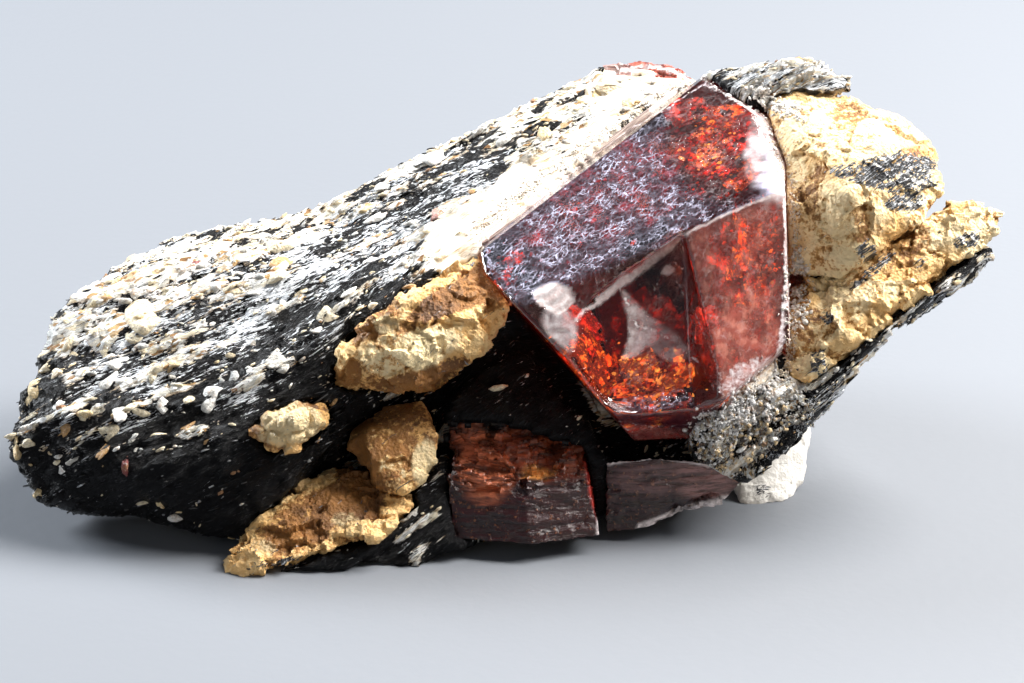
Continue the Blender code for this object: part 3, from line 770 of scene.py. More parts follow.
def zone_weight(sight, across, up, length, width, turn):
    """1 inside an oval zone, 0 outside it, with a soft rim."""
    c, s = math.cos(math.radians(turn)), math.sin(math.radians(turn))
    x, y = sight[:, 0] - across, sight[:, 1] - up
    away = np.hypot((x * c + y * s) / length, (y * c - x * s) / width)
    return 1 - smooth(0.7, 1.35, away)


def zoned(sight, zones, start):
    """A share that begins at start and is drawn towards each zone's own value."""
    share = np.array(start, float) * np.ones(len(sight))
    for *shape, value in zones:
        weight = zone_weight(sight, *shape)
        share = share * (1 - weight) + value * weight
    return share


def line_distance(sight, corners):
    nearest = np.full(len(sight), FAR)
    for a, b in zip(np.array(corners[:-1]), np.array(corners[1:])):
        t = np.clip((sight - a) @ (b - a) / ((b - a) @ (b - a)), 0, 1)
        nearest = np.minimum(nearest, np.linalg.norm(sight - a - t[:, None] * (b - a), axis=1))
    return nearest


def along_line(sight, corners, width):
    """1 on a line of this width, fading to 0 beside it."""
    return 1 - smooth(0.35 * width, 1.1 * width, line_distance(sight, corners))


def inside(sight, corners, rim):
    """1 inside a convex outline, fading to 0 at its rim. The corners go clockwise."""
    corners = np.array(corners)
    depth = np.full(len(sight), FAR)
    for a, b in zip(corners, np.roll(corners, -1, 0)):
        way = (b - a) / np.linalg.norm(b - a)
        depth = np.minimum(depth, (sight - a) @ np.array([way[1], -way[0]]))
    return smooth(-rim, rim, depth)


def rock_paleness(points):
    """Share of pale grains in the rock at each point."""
    sight, deep = sighted(points), to_show(points)[:, 2]
    drift = roughness(points, 7.0, 2, 61)
    bands = roughness(layer_coords(points) / (6, 0.9, 5), 1.0, 2, 62)
    plain = 0.42 + 0.16 * drift
    shown = zoned(sight, ROCK_ZONES, 0.4) + 0.07 * drift
    share = smooth(16.5, 21, deep)
    pale = shown * (1 - share) + plain * share
    return np.clip(pale + 0.34 * bands * smooth(0.0, 0.2, pale) * smooth(0.97, 0.8, pale), 0, 1)


def distance_to(points, nodes):
    """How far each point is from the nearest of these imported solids."""
    nearest = np.full(len(points), FAR)
    for node in nodes:
        solid = copy_of(node, "measure")
        tree = tree_of(solid)
        discard(solid)
        found = [tree.find_nearest(Vector(p) * MM)[3] for p in points]
        nearest = np.minimum(nearest, np.array(found) / MM)
    return nearest


# ---------------------------------------------------------------- settings

class RockSettings(bpy.types.PropertyGroup):
    mica: bpy.props.FloatVectorProperty(
        name="Mica", description="Colour of the black mica", subtype="COLOR", default=(0.006, 0.006, 0.007))
    grain: bpy.props.FloatVectorProperty(
        name="Pale grains", description="Colour of the pale grains in the rock", subtype="COLOR",
        default=(0.92, 0.93, 0.92))
    relief: bpy.props.FloatProperty(
        name="Layer relief", description="Height of the ridges between the layers, in millimetres",
        default=0.38, min=0, max=0.8)
    flakes: bpy.props.IntProperty(
        name="Mica flakes", description="Number of loose mica plates on the rock", default=5900, min=0)
    crumbs: bpy.props.IntProperty(
        name="Crumbs", description="Number of small grains on the rock", default=4800, min=0)
    grains: bpy.props.IntProperty(
        name="Grains", description="Number of larger grains on the rock", default=520, min=0)


class FeldsparSettings(bpy.types.PropertyGroup):
    cream: bpy.props.FloatVectorProperty(
        name="Feldspar", description="Main colour of the feldspar", subtype="COLOR",
        default=(0.78, 0.46, 0.16))
    stain: bpy.props.FloatVectorProperty(
        name="Iron stain", description="Colour of the rusty stains", subtype="COLOR",
        default=(0.10, 0.034, 0.007))
    relief: bpy.props.FloatProperty(
        name="Cleavage relief", description="Height of the broken steps, in millimetres", default=0.34,
        min=0, max=0.8)


class ZirconSettings(bpy.types.PropertyGroup):
    red: bpy.props.FloatVectorProperty(
        name="Absorption colour", description="Light that the clear crystal lets through", subtype="COLOR",
        default=(0.926, 0.41, 0.0))
    depth: bpy.props.FloatProperty(
        name="Absorption density", description="How fast the crystal darkens, per metre",
        default=390, min=0)
    bend: bpy.props.FloatProperty(
        name="Refraction", description="Refractive index of zircon", default=1.92, min=1, max=2.5)


class StageSettings(bpy.types.PropertyGroup):
    floor: bpy.props.FloatVectorProperty(
        name="Floor", description="Colour of the floor", subtype="COLOR", default=(0.18, 0.195, 0.22))
    key: bpy.props.FloatProperty(
        name="Key light", description="Power of the large light above and behind", default=3.0,
        subtype="POWER", unit="POWER")


# ---------------------------------------------------------------- materials

def biotite_finish(settings):
    """Black mica in thin sheets, with rows of pale grains along them, and silvery streaks painted on as
    glints.
    """
    f = Finish("foliated biotite")
    layer, pale = f.noted("layer", "Vector"), f.share("pale")
    mass, sheen = f.share("mass"), f.share("sheen")
    wavy = f.noise(f.stretched(layer, (0.5, 2.7, 0.7)), 1.0, 6.0, 0.62, 0.5)
    fine = f.noise(f.stretched(layer, (1.7, 7.0, 2.1)), 1.0, 4.0, 0.66)
    fibres = f.noise(f.stretched(layer, (0.9, 11.0, 1.3)), 1.0, 5.0, 0.7, 0.3)
    massive = pale.step(0.78, 0.93)
    ground = wavy * 0.55 + fine * 0.45 + (pale - 0.5) * 0.24 + (mass - 0.4) * 0.26
    threads = (fibres - massive * 0.035).step(0.56, 0.6)
    grains = ground.step(0.5, 0.53) * (1 - threads)
    rim = ground.step(0.57, 0.53) * (1 - massive * 0.6)
    kinds = f.cells(f.stretched(layer, (1.5, 3.8, 2.0)), 1.0, output="Color")
    kind = f.node("ShaderNodeSeparateColor", None, kinds).outputs[0]
    grain_color = f.ramp(kind, (
        (0.0, (0.95, 0.95, 0.92)), (0.4, tuple(settings.grain)), (0.62, (0.86, 0.76, 0.56)),
        (0.8, (0.64, 0.64, 0.60)), (0.94, (0.60, 0.38, 0.16)), (1.0, (0.26, 0.13, 0.05))))
    blocks = f.mix(wavy.step(0.4, 0.56), (0.62, 0.48, 0.32), (0.84, 0.79, 0.70))
    rusty = f.mix(rim * 0.42, f.mix(massive * 0.75, grain_color, blocks), (0.50, 0.28, 0.10))
    mica_color = f.mix(fine.step(0.5, 0.8), tuple(settings.mica), (0.022, 0.023, 0.026))
    patchy = f.noise(f.stretched(layer, (0.22, 0.9, 0.3)), 1.0, 3.0, 0.6)
    # Pale silvery streaks on the black mica: painted glints.
    painted_glint = (fibres * 0.5 + fine * 0.5 + (sheen - 0.5) * 0.2 + (patchy - 0.5) * 0.6).step(0.585, 0.605)
    dark = f.mix(painted_glint * 0.95, mica_color, (0.84, 0.88, 0.93))
    base = f.mix(grains, dark, rusty)
    rough = (0.02 + grains * 0.36 + fine * 0.4).clamped()
    height = (wavy * 0.4 + fine * 0.5 + fibres * 0.4 + grains * 0.12) * (1 - massive * 0.75)
    surface = f.surface(
        Base_Color=base, Metallic=painted_glint * (1 - grains) * 0.3, Roughness=rough, Specular_IOR_Level=0.2,
        Normal=f.bump(height, 0.6, 1.0))
    return f.done(surface)


def flake_finish():
    """Loose plates of mica: black, with a few painted pale silver as glints."""
    f = Finish("mica flakes")
    tint = f.noted("tint", "Color")
    painted_glint = f.node("ShaderNodeSeparateColor", None, tint).outputs[0]
    painted_glint_share = f.value(painted_glint).step(0.15, 0.4)
    place = f.place()
    worn = f.noise(place, 5.0, 3.0)
    surface = f.surface(
        Base_Color=tint, Metallic=painted_glint_share * 0.6, Roughness=0.1 + worn * 0.24, Specular_IOR_Level=0.3,
        Normal=f.bump(worn, 0.05, 0.5))
    return f.done(surface)


def grain_finish():
    """Separate grains of feldspar and quartz, each with its own tint."""
    f = Finish("pale grains")
    place = f.place()
    cloud = f.noise(place, 1.7, 4.0, 0.6)
    fine = f.noise(place, 5.0, 4.0, 0.65)
    rusty = f.mix(cloud.step(0.52, 0.66) * 0.5, f.noted("tint", "Color"), (0.50, 0.26, 0.09))
    pitted = f.mix(fine.step(0.5, 0.42) * 0.4, rusty, (0.16, 0.13, 0.10))
    base = f.mix(fine.step(0.52, 0.7) * 0.5, pitted, (0.88, 0.86, 0.82))
    surface = f.surface(
        Base_Color=base, Roughness=0.34 + fine * 0.3, IOR=1.53, Normal=f.bump(fine + cloud, 0.22, 0.9))
    return f.done(surface)


def feldspar_finish(settings):
    """Cream feldspar with rusty stains, glassy quartz and a little mica."""
    f = Finish("cream feldspar")
    place, layer = f.place(), f.noted("layer", "Vector")
    stain, clear = f.share("stain"), f.share("clear")
    mica, hollow = f.share("mica"), f.share("hollow")
    bleached, chalk = f.share("bleached"), f.share("chalk")
    cloud = f.noise(place, 0.42, 5.0, 0.6)
    fine = f.noise(place, 2.6, 6.0, 0.7)
    sugar = f.cells(place, 4.5)
    pale = f.mix(cloud.step(0.36, 0.64), tuple(settings.cream), (0.94, 0.68, 0.33))
    # Whitened where the zones say so: bleached patches and painted light.
    paled = f.mix((bleached * 1.3 + (fine - 0.5) * 1.6).step(0.2, 1.0) * 0.85, pale, (0.97, 0.79, 0.47))
    chalky = f.mix(fine.step(0.5, 0.66) * 0.4, paled, (0.96, 0.79, 0.49))
    rust = (stain * 0.9 + hollow * 0.8 + (fine - 0.5) * 2.6 + (cloud - 0.5) * 1.4).step(0.2, 0.9)
    golden = f.mix(rust.step(0.0, 0.5) * 0.9, chalky, (0.66, 0.35, 0.10))
    brown = f.mix(cloud.step(0.3, 0.7), tuple(settings.stain), (0.32, 0.13, 0.022))
    rusty = f.mix(rust.step(0.35, 1.0) * 0.94, golden, brown)
    glassy = f.mix((clear + (fine - 0.5) * 1.2).step(0.25, 0.75) * 0.8, rusty, (0.86, 0.70, 0.40))
    flaky = f.noise(f.stretched(layer, (0.8, 5.0, 1.0)), 1.0, 5.0, 0.65, 0.4)
    black = (mica * 0.56 + (flaky - 0.5) * 2.6).step(0.42, 0.5)
    specks = (f.noise(place, 3.4, 2.0, 0.5) + mica * 0.3).step(0.74, 0.78)
    dark = black.larger(specks)
    stone = f.mix(chalk, glassy, f.mix(cloud.step(0.35, 0.7), (0.88, 0.86, 0.82), (0.72, 0.69, 0.64)))
    glint = f.noise(f.stretched(layer, (1.6, 12.0, 2.0)), 1.0, 3.0, 0.6).step(0.56, 0.62)
    base = f.mix(dark, stone, f.mix(glint, (0.012, 0.012, 0.014), (0.50, 0.53, 0.58)))
    rough = (0.56 - clear * 0.3 - dark * 0.24 + (fine - 0.5) * 0.3).clamped()
    height = (fine * 0.9 + sugar * 0.4 + cloud * 0.3) * (1 - chalk * 0.7)
    surface = f.surface(
        Base_Color=base, Roughness=rough, IOR=1.53, Coat_Weight=dark * 0.5, Coat_Roughness=0.12,
        Normal=f.bump(height, 0.26, 0.9))
    return f.done(surface)


def main_zircon_finish(settings):
    """Clear red zircon: scratched and worn white outside, glassy where it has broken, and darkened
    underneath by painted shade.
    """
    f = Finish("clear red zircon")
    face, place = f.noted("face", "Vector"), f.place()
    frost, scratched, milk = f.share("frost"), f.share("scratched"), f.share("milk")
    filmed, dusk = f.share("filmed"), f.share("dusk")
    haze = f.share("haze") * (0.45 + f.noise(place, 0.7, 4.0).step(0.35, 0.65) * 0.8)
    warp = f.noise(f.stretched(face, (0.6, 1.1, 0.6)), 1.0, 4.0)
    bent = f.warped(face, (warp * 0.9, warp * 1.1, warp))
    crackle = f.cells(f.stretched(bent, (1.4, 2.7, 1.0)), 1.0, "DISTANCE_TO_EDGE").step(0.08, 0.045)
    crossed = f.cells(f.stretched(bent, (2.0, 3.4, 1.0)), 1.0, "DISTANCE_TO_EDGE").step(0.06, 0.03)
    curls = abs(f.noise(f.stretched(bent, (0.9, 3.2, 1.0)), 1.0, 3.0, 0.5) - 0.5).step(0.022, 0.01)
    broken = f.noise(place, 0.9, 6.0, 0.75).step(0.45, 0.62)
    lines = (crackle * 0.75 + crossed * 0.4 + curls * 0.65) * (0.12 + broken * 0.88)
    dust = f.noise(place, 3.4, 7.0, 0.75)
    # A thin film of dust over the faces; on the scratched upper face it also carries a painted sheen.
    dust_and_painted_sheen_layer = filmed * (0.015 + dust.step(0.42, 0.75) * 0.08)
    veil = (scratched * lines * 0.62 + dust_and_painted_sheen_layer).clamped()
    frosted = (frost * 1.5 + (dust - 0.5) * 2.4 - 0.4).step(0.0, 1.0) * 0.94
    powder = f.mix(dust.step(0.35, 0.65), (0.72, 0.57, 0.56), (0.90, 0.85, 0.86))
    # The white layer turns lavender-blue where the face is scratched: a painted reflection of the sky.
    white = f.surface(Base_Color=f.mix(scratched.step(0.1, 0.6), powder, (0.58, 0.58, 0.76)), Roughness=0.5)
    rosy = f.surface(
        Base_Color=f.mix(f.noise(f.stretched(place, (2.0, 2.0, 0.6)), 1.0, 4.0).step(0.45, 0.65),
                         (0.42, 0.10, 0.07), (0.70, 0.25, 0.18)),
        Roughness=0.4, IOR=1.5)
    height = lines * 0.5 + dust * 0.25
    glass = f.surface(
        Base_Color=(1.0, 0.97, 0.96), Roughness=(0.03 + scratched * 0.09 + haze * 0.12).clamped(),
        IOR=settings.bend, Transmission_Weight=1.0, Normal=f.bump(height, 0.05, 0.3))
    # A dark glassy surface mixed in where the crystal lies low or overhangs: painted shade.
    painted_shade_surface = f.surface(Base_Color=(0.04, 0.008, 0.014), Roughness=0.2, IOR=1.7)
    clear = f.blend(dusk, f.blend(haze, glass, rosy), painted_shade_surface)
    surface = f.blend(veil.larger(frosted).larger(milk * (0.7 + dust * 0.6)), clear, white)
    volume = f.node("ShaderNodeVolumeAbsorption", None, Color=tuple(settings.red),
                    Density=settings.depth).outputs[0]
    return f.done(surface, volume)


def painted_glow_finish():
    """Healed cracks inside the crystal: a mosaic of shards, some of which glow with painted light as if
    they threw the light back.
    """
    f = Finish("cracks in the crystal with painted glow")
    shard, tint = f.noted("shard", "Vector"), f.noted("tint", "Color")
    warp = f.noise(shard, 1.2, 3.0)
    torn = f.warped(shard, (warp * 2.2, warp * 1.8, warp))
    drawn = f.node("ShaderNodeSeparateColor", None, f.cells(torn, 2.1, output="Color"))
    chance, redness = f.value(drawn.outputs[0]), f.value(drawn.outputs[1])
    cloud = f.noise(shard, 0.4, 6.0, 0.72)
    glitter = f.noise(torn, 5.0, 2.0, 0.6).step(0.62, 0.72)
    painted_glow_share = ((chance * 0.5 + (cloud - 0.5) * 3.0).step(0.2, 0.9) + glitter * 0.6).clamped()
    redder = f.mix(1.0, tint, (1.0, 0.30, 0.25), "MULTIPLY")
    hue = f.mix(redness.step(0.2, 0.7), tint, redder)
    glow = f.mix(painted_glow_share, f.mix(1.0, tint, (0.09, 0.03, 0.05), "MULTIPLY"), hue)
    surface = f.surface(
        Base_Color=glow, Metallic=0.3, Roughness=0.35, Emission_Color=glow, Emission_Strength=0.8)
    f.material.cycles.emission_sampling = "NONE"  # too many faint flecks to aim at one by one
    return f.done(surface)


def small_zircon_finish(name):
    """Dark zircon, half clear, with a tint over each part that in places is painted highlight or painted
    shade.
    """
    f = Finish(name)
    place, tint = f.place(), f.noted("tint", "Color")
    frost = f.share("frost")
    streak = f.noise(f.stretched(place, (0.5, 0.5, 4.0)), 1.0, 4.0, 0.6)
    fine = f.noise(place, 3.2, 4.0, 0.65)
    deep = f.mix(streak.step(0.35, 0.62), f.mix(0.8, tint, (0.008, 0.003, 0.004)), tint)
    rusty = f.mix(fine.step(0.56, 0.7) * 0.5, deep, f.mix(0.5, tint, (0.55, 0.22, 0.08)))
    base = f.mix((frost * (fine * 2.4 - 0.4)).clamped(), rusty, (0.80, 0.72, 0.72))
    surface = f.surface(
        Base_Color=base, Roughness=(0.1 + fine * 0.26 + frost * 0.3).clamped(), IOR=1.55,
        Normal=f.bump(streak * 0.6 + fine * 0.4, 0.25, 0.9))
    return f.done(surface)


# ---------------------------------------------------------------- the rock

def rock_piece(settings):
    obj = skin_of("biotite_matrix", "biotite_rock", ROCK_VOXEL)
    mesh = obj.data
    points, normals = points_of(mesh), normals_of(mesh)
    sight = sighted(points)
    near = distance_to(points, ZIRCONS)
    free = smooth(0.35, 1.3, near)
    layer = layer_coords(points)
    sugary = zone_weight(sight, *CRUST_ZONE)[:, None]
    middle = layer_coords(from_show([[*CRUST_ZONE[:2], 2.0]]))
    layer = middle + (layer - middle) * (1 + sugary * (5.0, 0.5, 3.6))
    ridges = roughness(layer / (5.5, 0.95, 5.0), 1.0, 3, 3)
    plates, _ = chips(layer / (1.6, 0.42, 1.7), 1.0, 5)
    fine = roughness(points, 0.55, 2, 9)
    pale = rock_paleness(points)
    massive = smooth(0.8, 0.95, pale)
    clumps = roughness(layer / (2.3, 0.72, 2.2), 1.0, 2, 15) + (pale - 0.52) * 1.7
    mass = (1 - 0.4 * sugary[:, 0]) * smooth(0.02, 0.4, clumps)
    knobs, _ = chips(layer / (0.9, 0.5, 0.8), 1.0, 17)
    slabs, _ = chips(points * (1, 1, 1.3), 2.4, 18)
    folds = roughness(layer / (10, 2.1, 9), 1.0, 2, 19)
    height = settings.relief * (ridges + 0.8 * folds + 0.45 * plates) * (1 - 0.7 * massive)
    height += mass * (0.17 + 0.16 * knobs * (1 - 0.75 * massive))
    height += 0.2 * massive * slabs + 0.08 * fine - 0.16
    moved = free * height + 0.3 * (1 - smooth(0.35, 0.8, near))
    set_points(mesh, points + normals * moved[:, None])
    note(mesh, "layer", layer, "FLOAT_VECTOR")
    lining = (1 - smooth(0.6, 0.9, distance_to(points, ZIRCONS[:1]))) * inside(sight, CRYSTAL_OUTLINE, 0.3)
    note(mesh, "pale", np.maximum(pale, lining))
    note(mesh, "mass", np.maximum(mass, lining))
    # Where the mica gets its painted silvery glints.
    note(mesh, "sheen", zoned(sight, PAINTED_SHEEN_ZONES, 0.12) * (1 - lining))
    shade_smooth(mesh)
    return place_piece(obj, "biotite_matrix", biotite_finish(settings), "biotite_matrix")


def tumbled(axis, square, amount, rng):
    """Three axes a copy: along, beside and square to the sheets, knocked about by amount."""
    square = unit(square + amount * rng.standard_normal(square.shape))
    along = axis + 1.2 * amount * rng.standard_normal(axis.shape)
    along = unit(along - np.einsum("ij,ij->i", along, square)[:, None] * square)
    return np.stack([along, np.cross(square, along), square], 1)


def flakes_piece(settings):
    mesh = bpy.data.objects["biotite_rock"].data

    def density(places):
        pale = rock_paleness(places)
        shut = smooth(0.5, 1.2, distance_to(places, ZIRCONS))
        sheen = zoned(sighted(places), PAINTED_SHEEN_ZONES, 0.12)
        plain = smooth(0.9, 0.75, pale)
        return (0.12 + (1 - pale) ** 1.5 * (1 - 0.5 * sheen)) * plain * shut * (places[:, 2] > 0.4)

    places, normals = spread_over(mesh, settings.flakes, density, 11)
    rng = np.random.default_rng(12)
    along, square = layer_axes(places)
    along = unit(along - np.einsum("ij,ij->i", along, normals)[:, None] * normals * 0.6)
    axes = tumbled(along, square, 0.15, rng)
    size = 0.09 + 0.34 * rng.random(settings.flakes) ** 3
    longer, thick = 1.1 + 1.1 * rng.random(len(size)), 0.018 + 0.03 * rng.random(len(size))
    sizes = np.stack([size * longer, size, thick], 1)
    flat = np.abs(np.einsum("ij,ij->i", axes[:, 2], normals))
    buried = (0.04 - 1.05 * size * np.sqrt(1 - np.clip(flat, 0, 1) ** 2))[:, None]
    sheen = zoned(sighted(places), PAINTED_SHEEN_ZONES, 0.12)
    # A few flakes are coloured pale silver as painted glints, more of them where the mica's sheen is
    # painted.
    glint_chance = rng.random(settings.flakes) + 0.12 * sheen
    painted_glint_tone = np.where(glint_chance > 0.92, 0.75, np.where(glint_chance > 0.78, 0.14, 0.008))
    painted_glint_tone = painted_glint_tone * (0.35 + 0.65 * np.clip(sheen * 1.6, 0, 1))
    tints = painted_glint_tone[:, None] * np.array([1, 1, 1.02])
    obj = strew("mica_flakes", plate_shape("plate"), places + normals * buried, axes, sizes, tints, 0.16,
                seed=13)
    return place_piece(obj, "biotite_matrix", flake_finish())


def grain_tints(rng, count):
    kinds = rng.choice(
        ["white", "cream", "yellow", "amber", "grey", "quartz", "rust"], count,
        p=[0.42, 0.34, 0.05, 0.05, 0.05, 0.07, 0.02])
    tints = np.array([GRAIN_COLORS[kind] for kind in kinds])
    return tints * (0.85 + 0.25 * rng.random((count, 1)))


def strewn_grains(name, count, shape, smallest, largest, seed):
    mesh = bpy.data.objects["biotite_rock"].data

    def density(places):
        pale = rock_paleness(places)
        shut = smooth(0.6, 1.0, distance_to(places, ZIRCONS))
        clumps = smooth(-0.3, 0.5, roughness(layer_coords(places) / (3, 1, 3), 1.0, 2, seed))
        plain = 0.04 + smooth(0.92, 0.78, pale)
        return (0.02 + pale ** 2) * (0.08 + clumps) * plain * shut * (places[:, 2] > 0.5)

    places, normals = spread_over(mesh, count, density, seed)
    rng = np.random.default_rng(seed + 1)
    along, square = layer_axes(places)
    axes = tumbled(along, square, 0.3, rng)
    size = smallest + (largest - smallest) * rng.random(count) ** 2.2
    sizes = size[:, None] * np.stack(
        [1.2 + 0.9 * rng.random(count), 0.8 + 0.4 * rng.random(count), 0.45 + 0.3 * rng.random(count)], 1)
    obj = strew(name, shape, places - normals * size[:, None] * 0.14, axes, sizes, grain_tints(rng, count),
                0.04, 0.16, 6, seed + 2)
    return place_piece(obj, "biotite_matrix", grain_finish())


def shown_grains():
    trees = [tree_of(bpy.data.objects["biotite_rock"])]
    places, axes, sizes, tints = [], [], [], []
    for across, up, length, height, turn, kind in SHOWN_GRAINS:
        found = seen_at(trees, across, up)
        if found is None:
            continue
        place, normal = found
        c, s = math.cos(math.radians(turn)), math.sin(math.radians(turn))
        along = np.array([c, s, 0]) @ SHOW_AXES
        along = along - normal * (along @ normal) * 0.7
        along /= np.linalg.norm(along)
        square = normal - along * (along @ normal)
        square /= np.linalg.norm(square)
        beside = np.cross(square, along)
        spread = 1 / max(0.45, abs(to_show(beside + SHOW_MIDDLE) @ np.array([-s, c, 0])))
        grow = 1 + to_show(place)[2] / EYE_DISTANCE
        places.append(place - square * 0.26 * height)
        axes.append([along, beside, square])
        sizes.append([0.58 * length * grow, 0.58 * height * spread * grow, 0.36 * height * grow])
        tints.append(GRAIN_COLORS[kind])
    obj = strew("shown_grains", crumb_shape("lump", 3), np.array(places), np.array(axes), np.array(sizes),
                np.array(tints), 0.03, 0.16, 5, 31)
    return place_piece(obj, "biotite_matrix", grain_finish())


# ---------------------------------------------------------------- feldspar

def soften(obj, weight, rounds):
    """Melts the skin down where weight is above a half."""
    group = obj.vertex_groups.new(name="soft")
    group.add([int(number) for number in np.flatnonzero(weight > 0.5)], 1.0, "REPLACE")
    melt = obj.modifiers.new("melt", "SMOOTH")
    melt.factor, melt.iterations, melt.vertex_group = 1.0, rounds, "soft"
    apply_modifiers(obj)


def feldspar_piece(node, settings):
    obj = skin_of(node, node.replace("feldspar_", "") + "_of_feldspar", FELDSPAR_VOXEL)
    if node == "feldspar_knob":
        soften(obj, zone_weight(sighted(points_of(obj.data)), -7.0, -8.2, 2.2, 2.0, 0), 260)
    mesh = obj.data
    points, normals = points_of(mesh), normals_of(mesh)
    free = smooth(0.3, 1.0, distance_to(points, ZIRCONS))
    chalky = node == "feldspar_foot"
    calm = SOFTER_RELIEF.get(node, 1.0)
    steps, _ = chips(points * (1, 1, 1.25), 2.6, 21)
    mid, _ = chips(points, 1.1, 26)
    small, _ = chips(points, 0.5, 22)
    swells = roughness(points, 1.6, 2, 23)
    height = settings.relief * (1.1 * steps + 0.55 * mid + 0.3 * small + 0.2 * swells)
    sight, shown = sighted(points), 1 - smooth(3, 7, to_show(points)[:, 2] - 3)
    joint = 0.5 * zone_weight(sight, 17.9, 2.6, 1.2, 2.8, 0)
    moved = (height * calm + 0.16) * free + 0.28 * (1 - free) + joint
    if node == "feldspar_knob":
        moved += 0.45 * np.clip(1 - line_distance(sight, KNOB_NOSE) / 1.1, 0, 1) * shown
        moved -= 0.55 * zone_weight(sight, -9.6, -7.8, 0.9, 1.3, -10) * shown
    if node == "feldspar_nugget":
        _, rim = chips(points, 1.25, 28)
        moved += 0.26 * smooth(0.0, 0.3, rim) - 0.13
        height = height - 0.5 * (1 - smooth(0.0, 0.2, rim))
    set_points(mesh, points + normals * moved[:, None])
    note(mesh, "layer", layer_coords(points), "FLOAT_VECTOR")
    drift = 0.5 + 0.5 * roughness(points, 3.5, 2, 24)
    plain = 0.04 if chalky else 0.3
    note(mesh, "stain", zoned(sight, STAINED_ZONES, 0.1) * shown + plain * drift * (1 - 0.6 * shown))
    note(mesh, "clear", zoned(sight, CLEAR_ZONES, 0.0) * shown)
    note(mesh, "bleached", zoned(sight, BLEACHED_AND_PAINTED_LIGHT_ZONES, 0.0) * shown + 0.5 * drift * (1 - shown))
    note(mesh, "chalk", np.full(len(points), 1.0 if chalky else 0.0))
    dark = zoned(sight, MICA_ZONES, 0.0) * shown
    note(mesh, "mica", dark + (0.0 if chalky else 0.12) * drift)
    note(mesh, "hollow", np.clip(-height * 1.6, 0, 1) * (0.0 if chalky else calm))
    shade_smooth(mesh)
    mesh.set_sharp_from_angle(angle=SHARP_TURN)
    return obj


# ---------------------------------------------------------------- zircon

def crystal_skin(node, name, voxel):
    """A fine skin that lies exactly on the crystal's faces, with its edges a little rounded."""
    obj = skin_of(node, name, voxel)
    sharp = copy_of(node, "sharp")
    tree = tree_of(sharp)
    points = np.array([tree.find_nearest(v.co)[0] for v in obj.data.vertices]) / MM
    discard(sharp)
    set_points(obj.data, points)
    return obj


def face_normal(a, b, c):
    a, b, c = (np.array(p, float) for p in (a, b, c))
    normal = np.cross(b - a, c - a)
    return normal / np.linalg.norm(normal)


CORNER_A, CORNER_B, CORNER_D = (-1.8, -6, 16.8), (12.7, 5.2, 24.2), (17.6, -5, 20.7)
CORNER_F, CORNER_G = (0.3, -10.6, 15.3), (13.4, -12.8, 9.9)


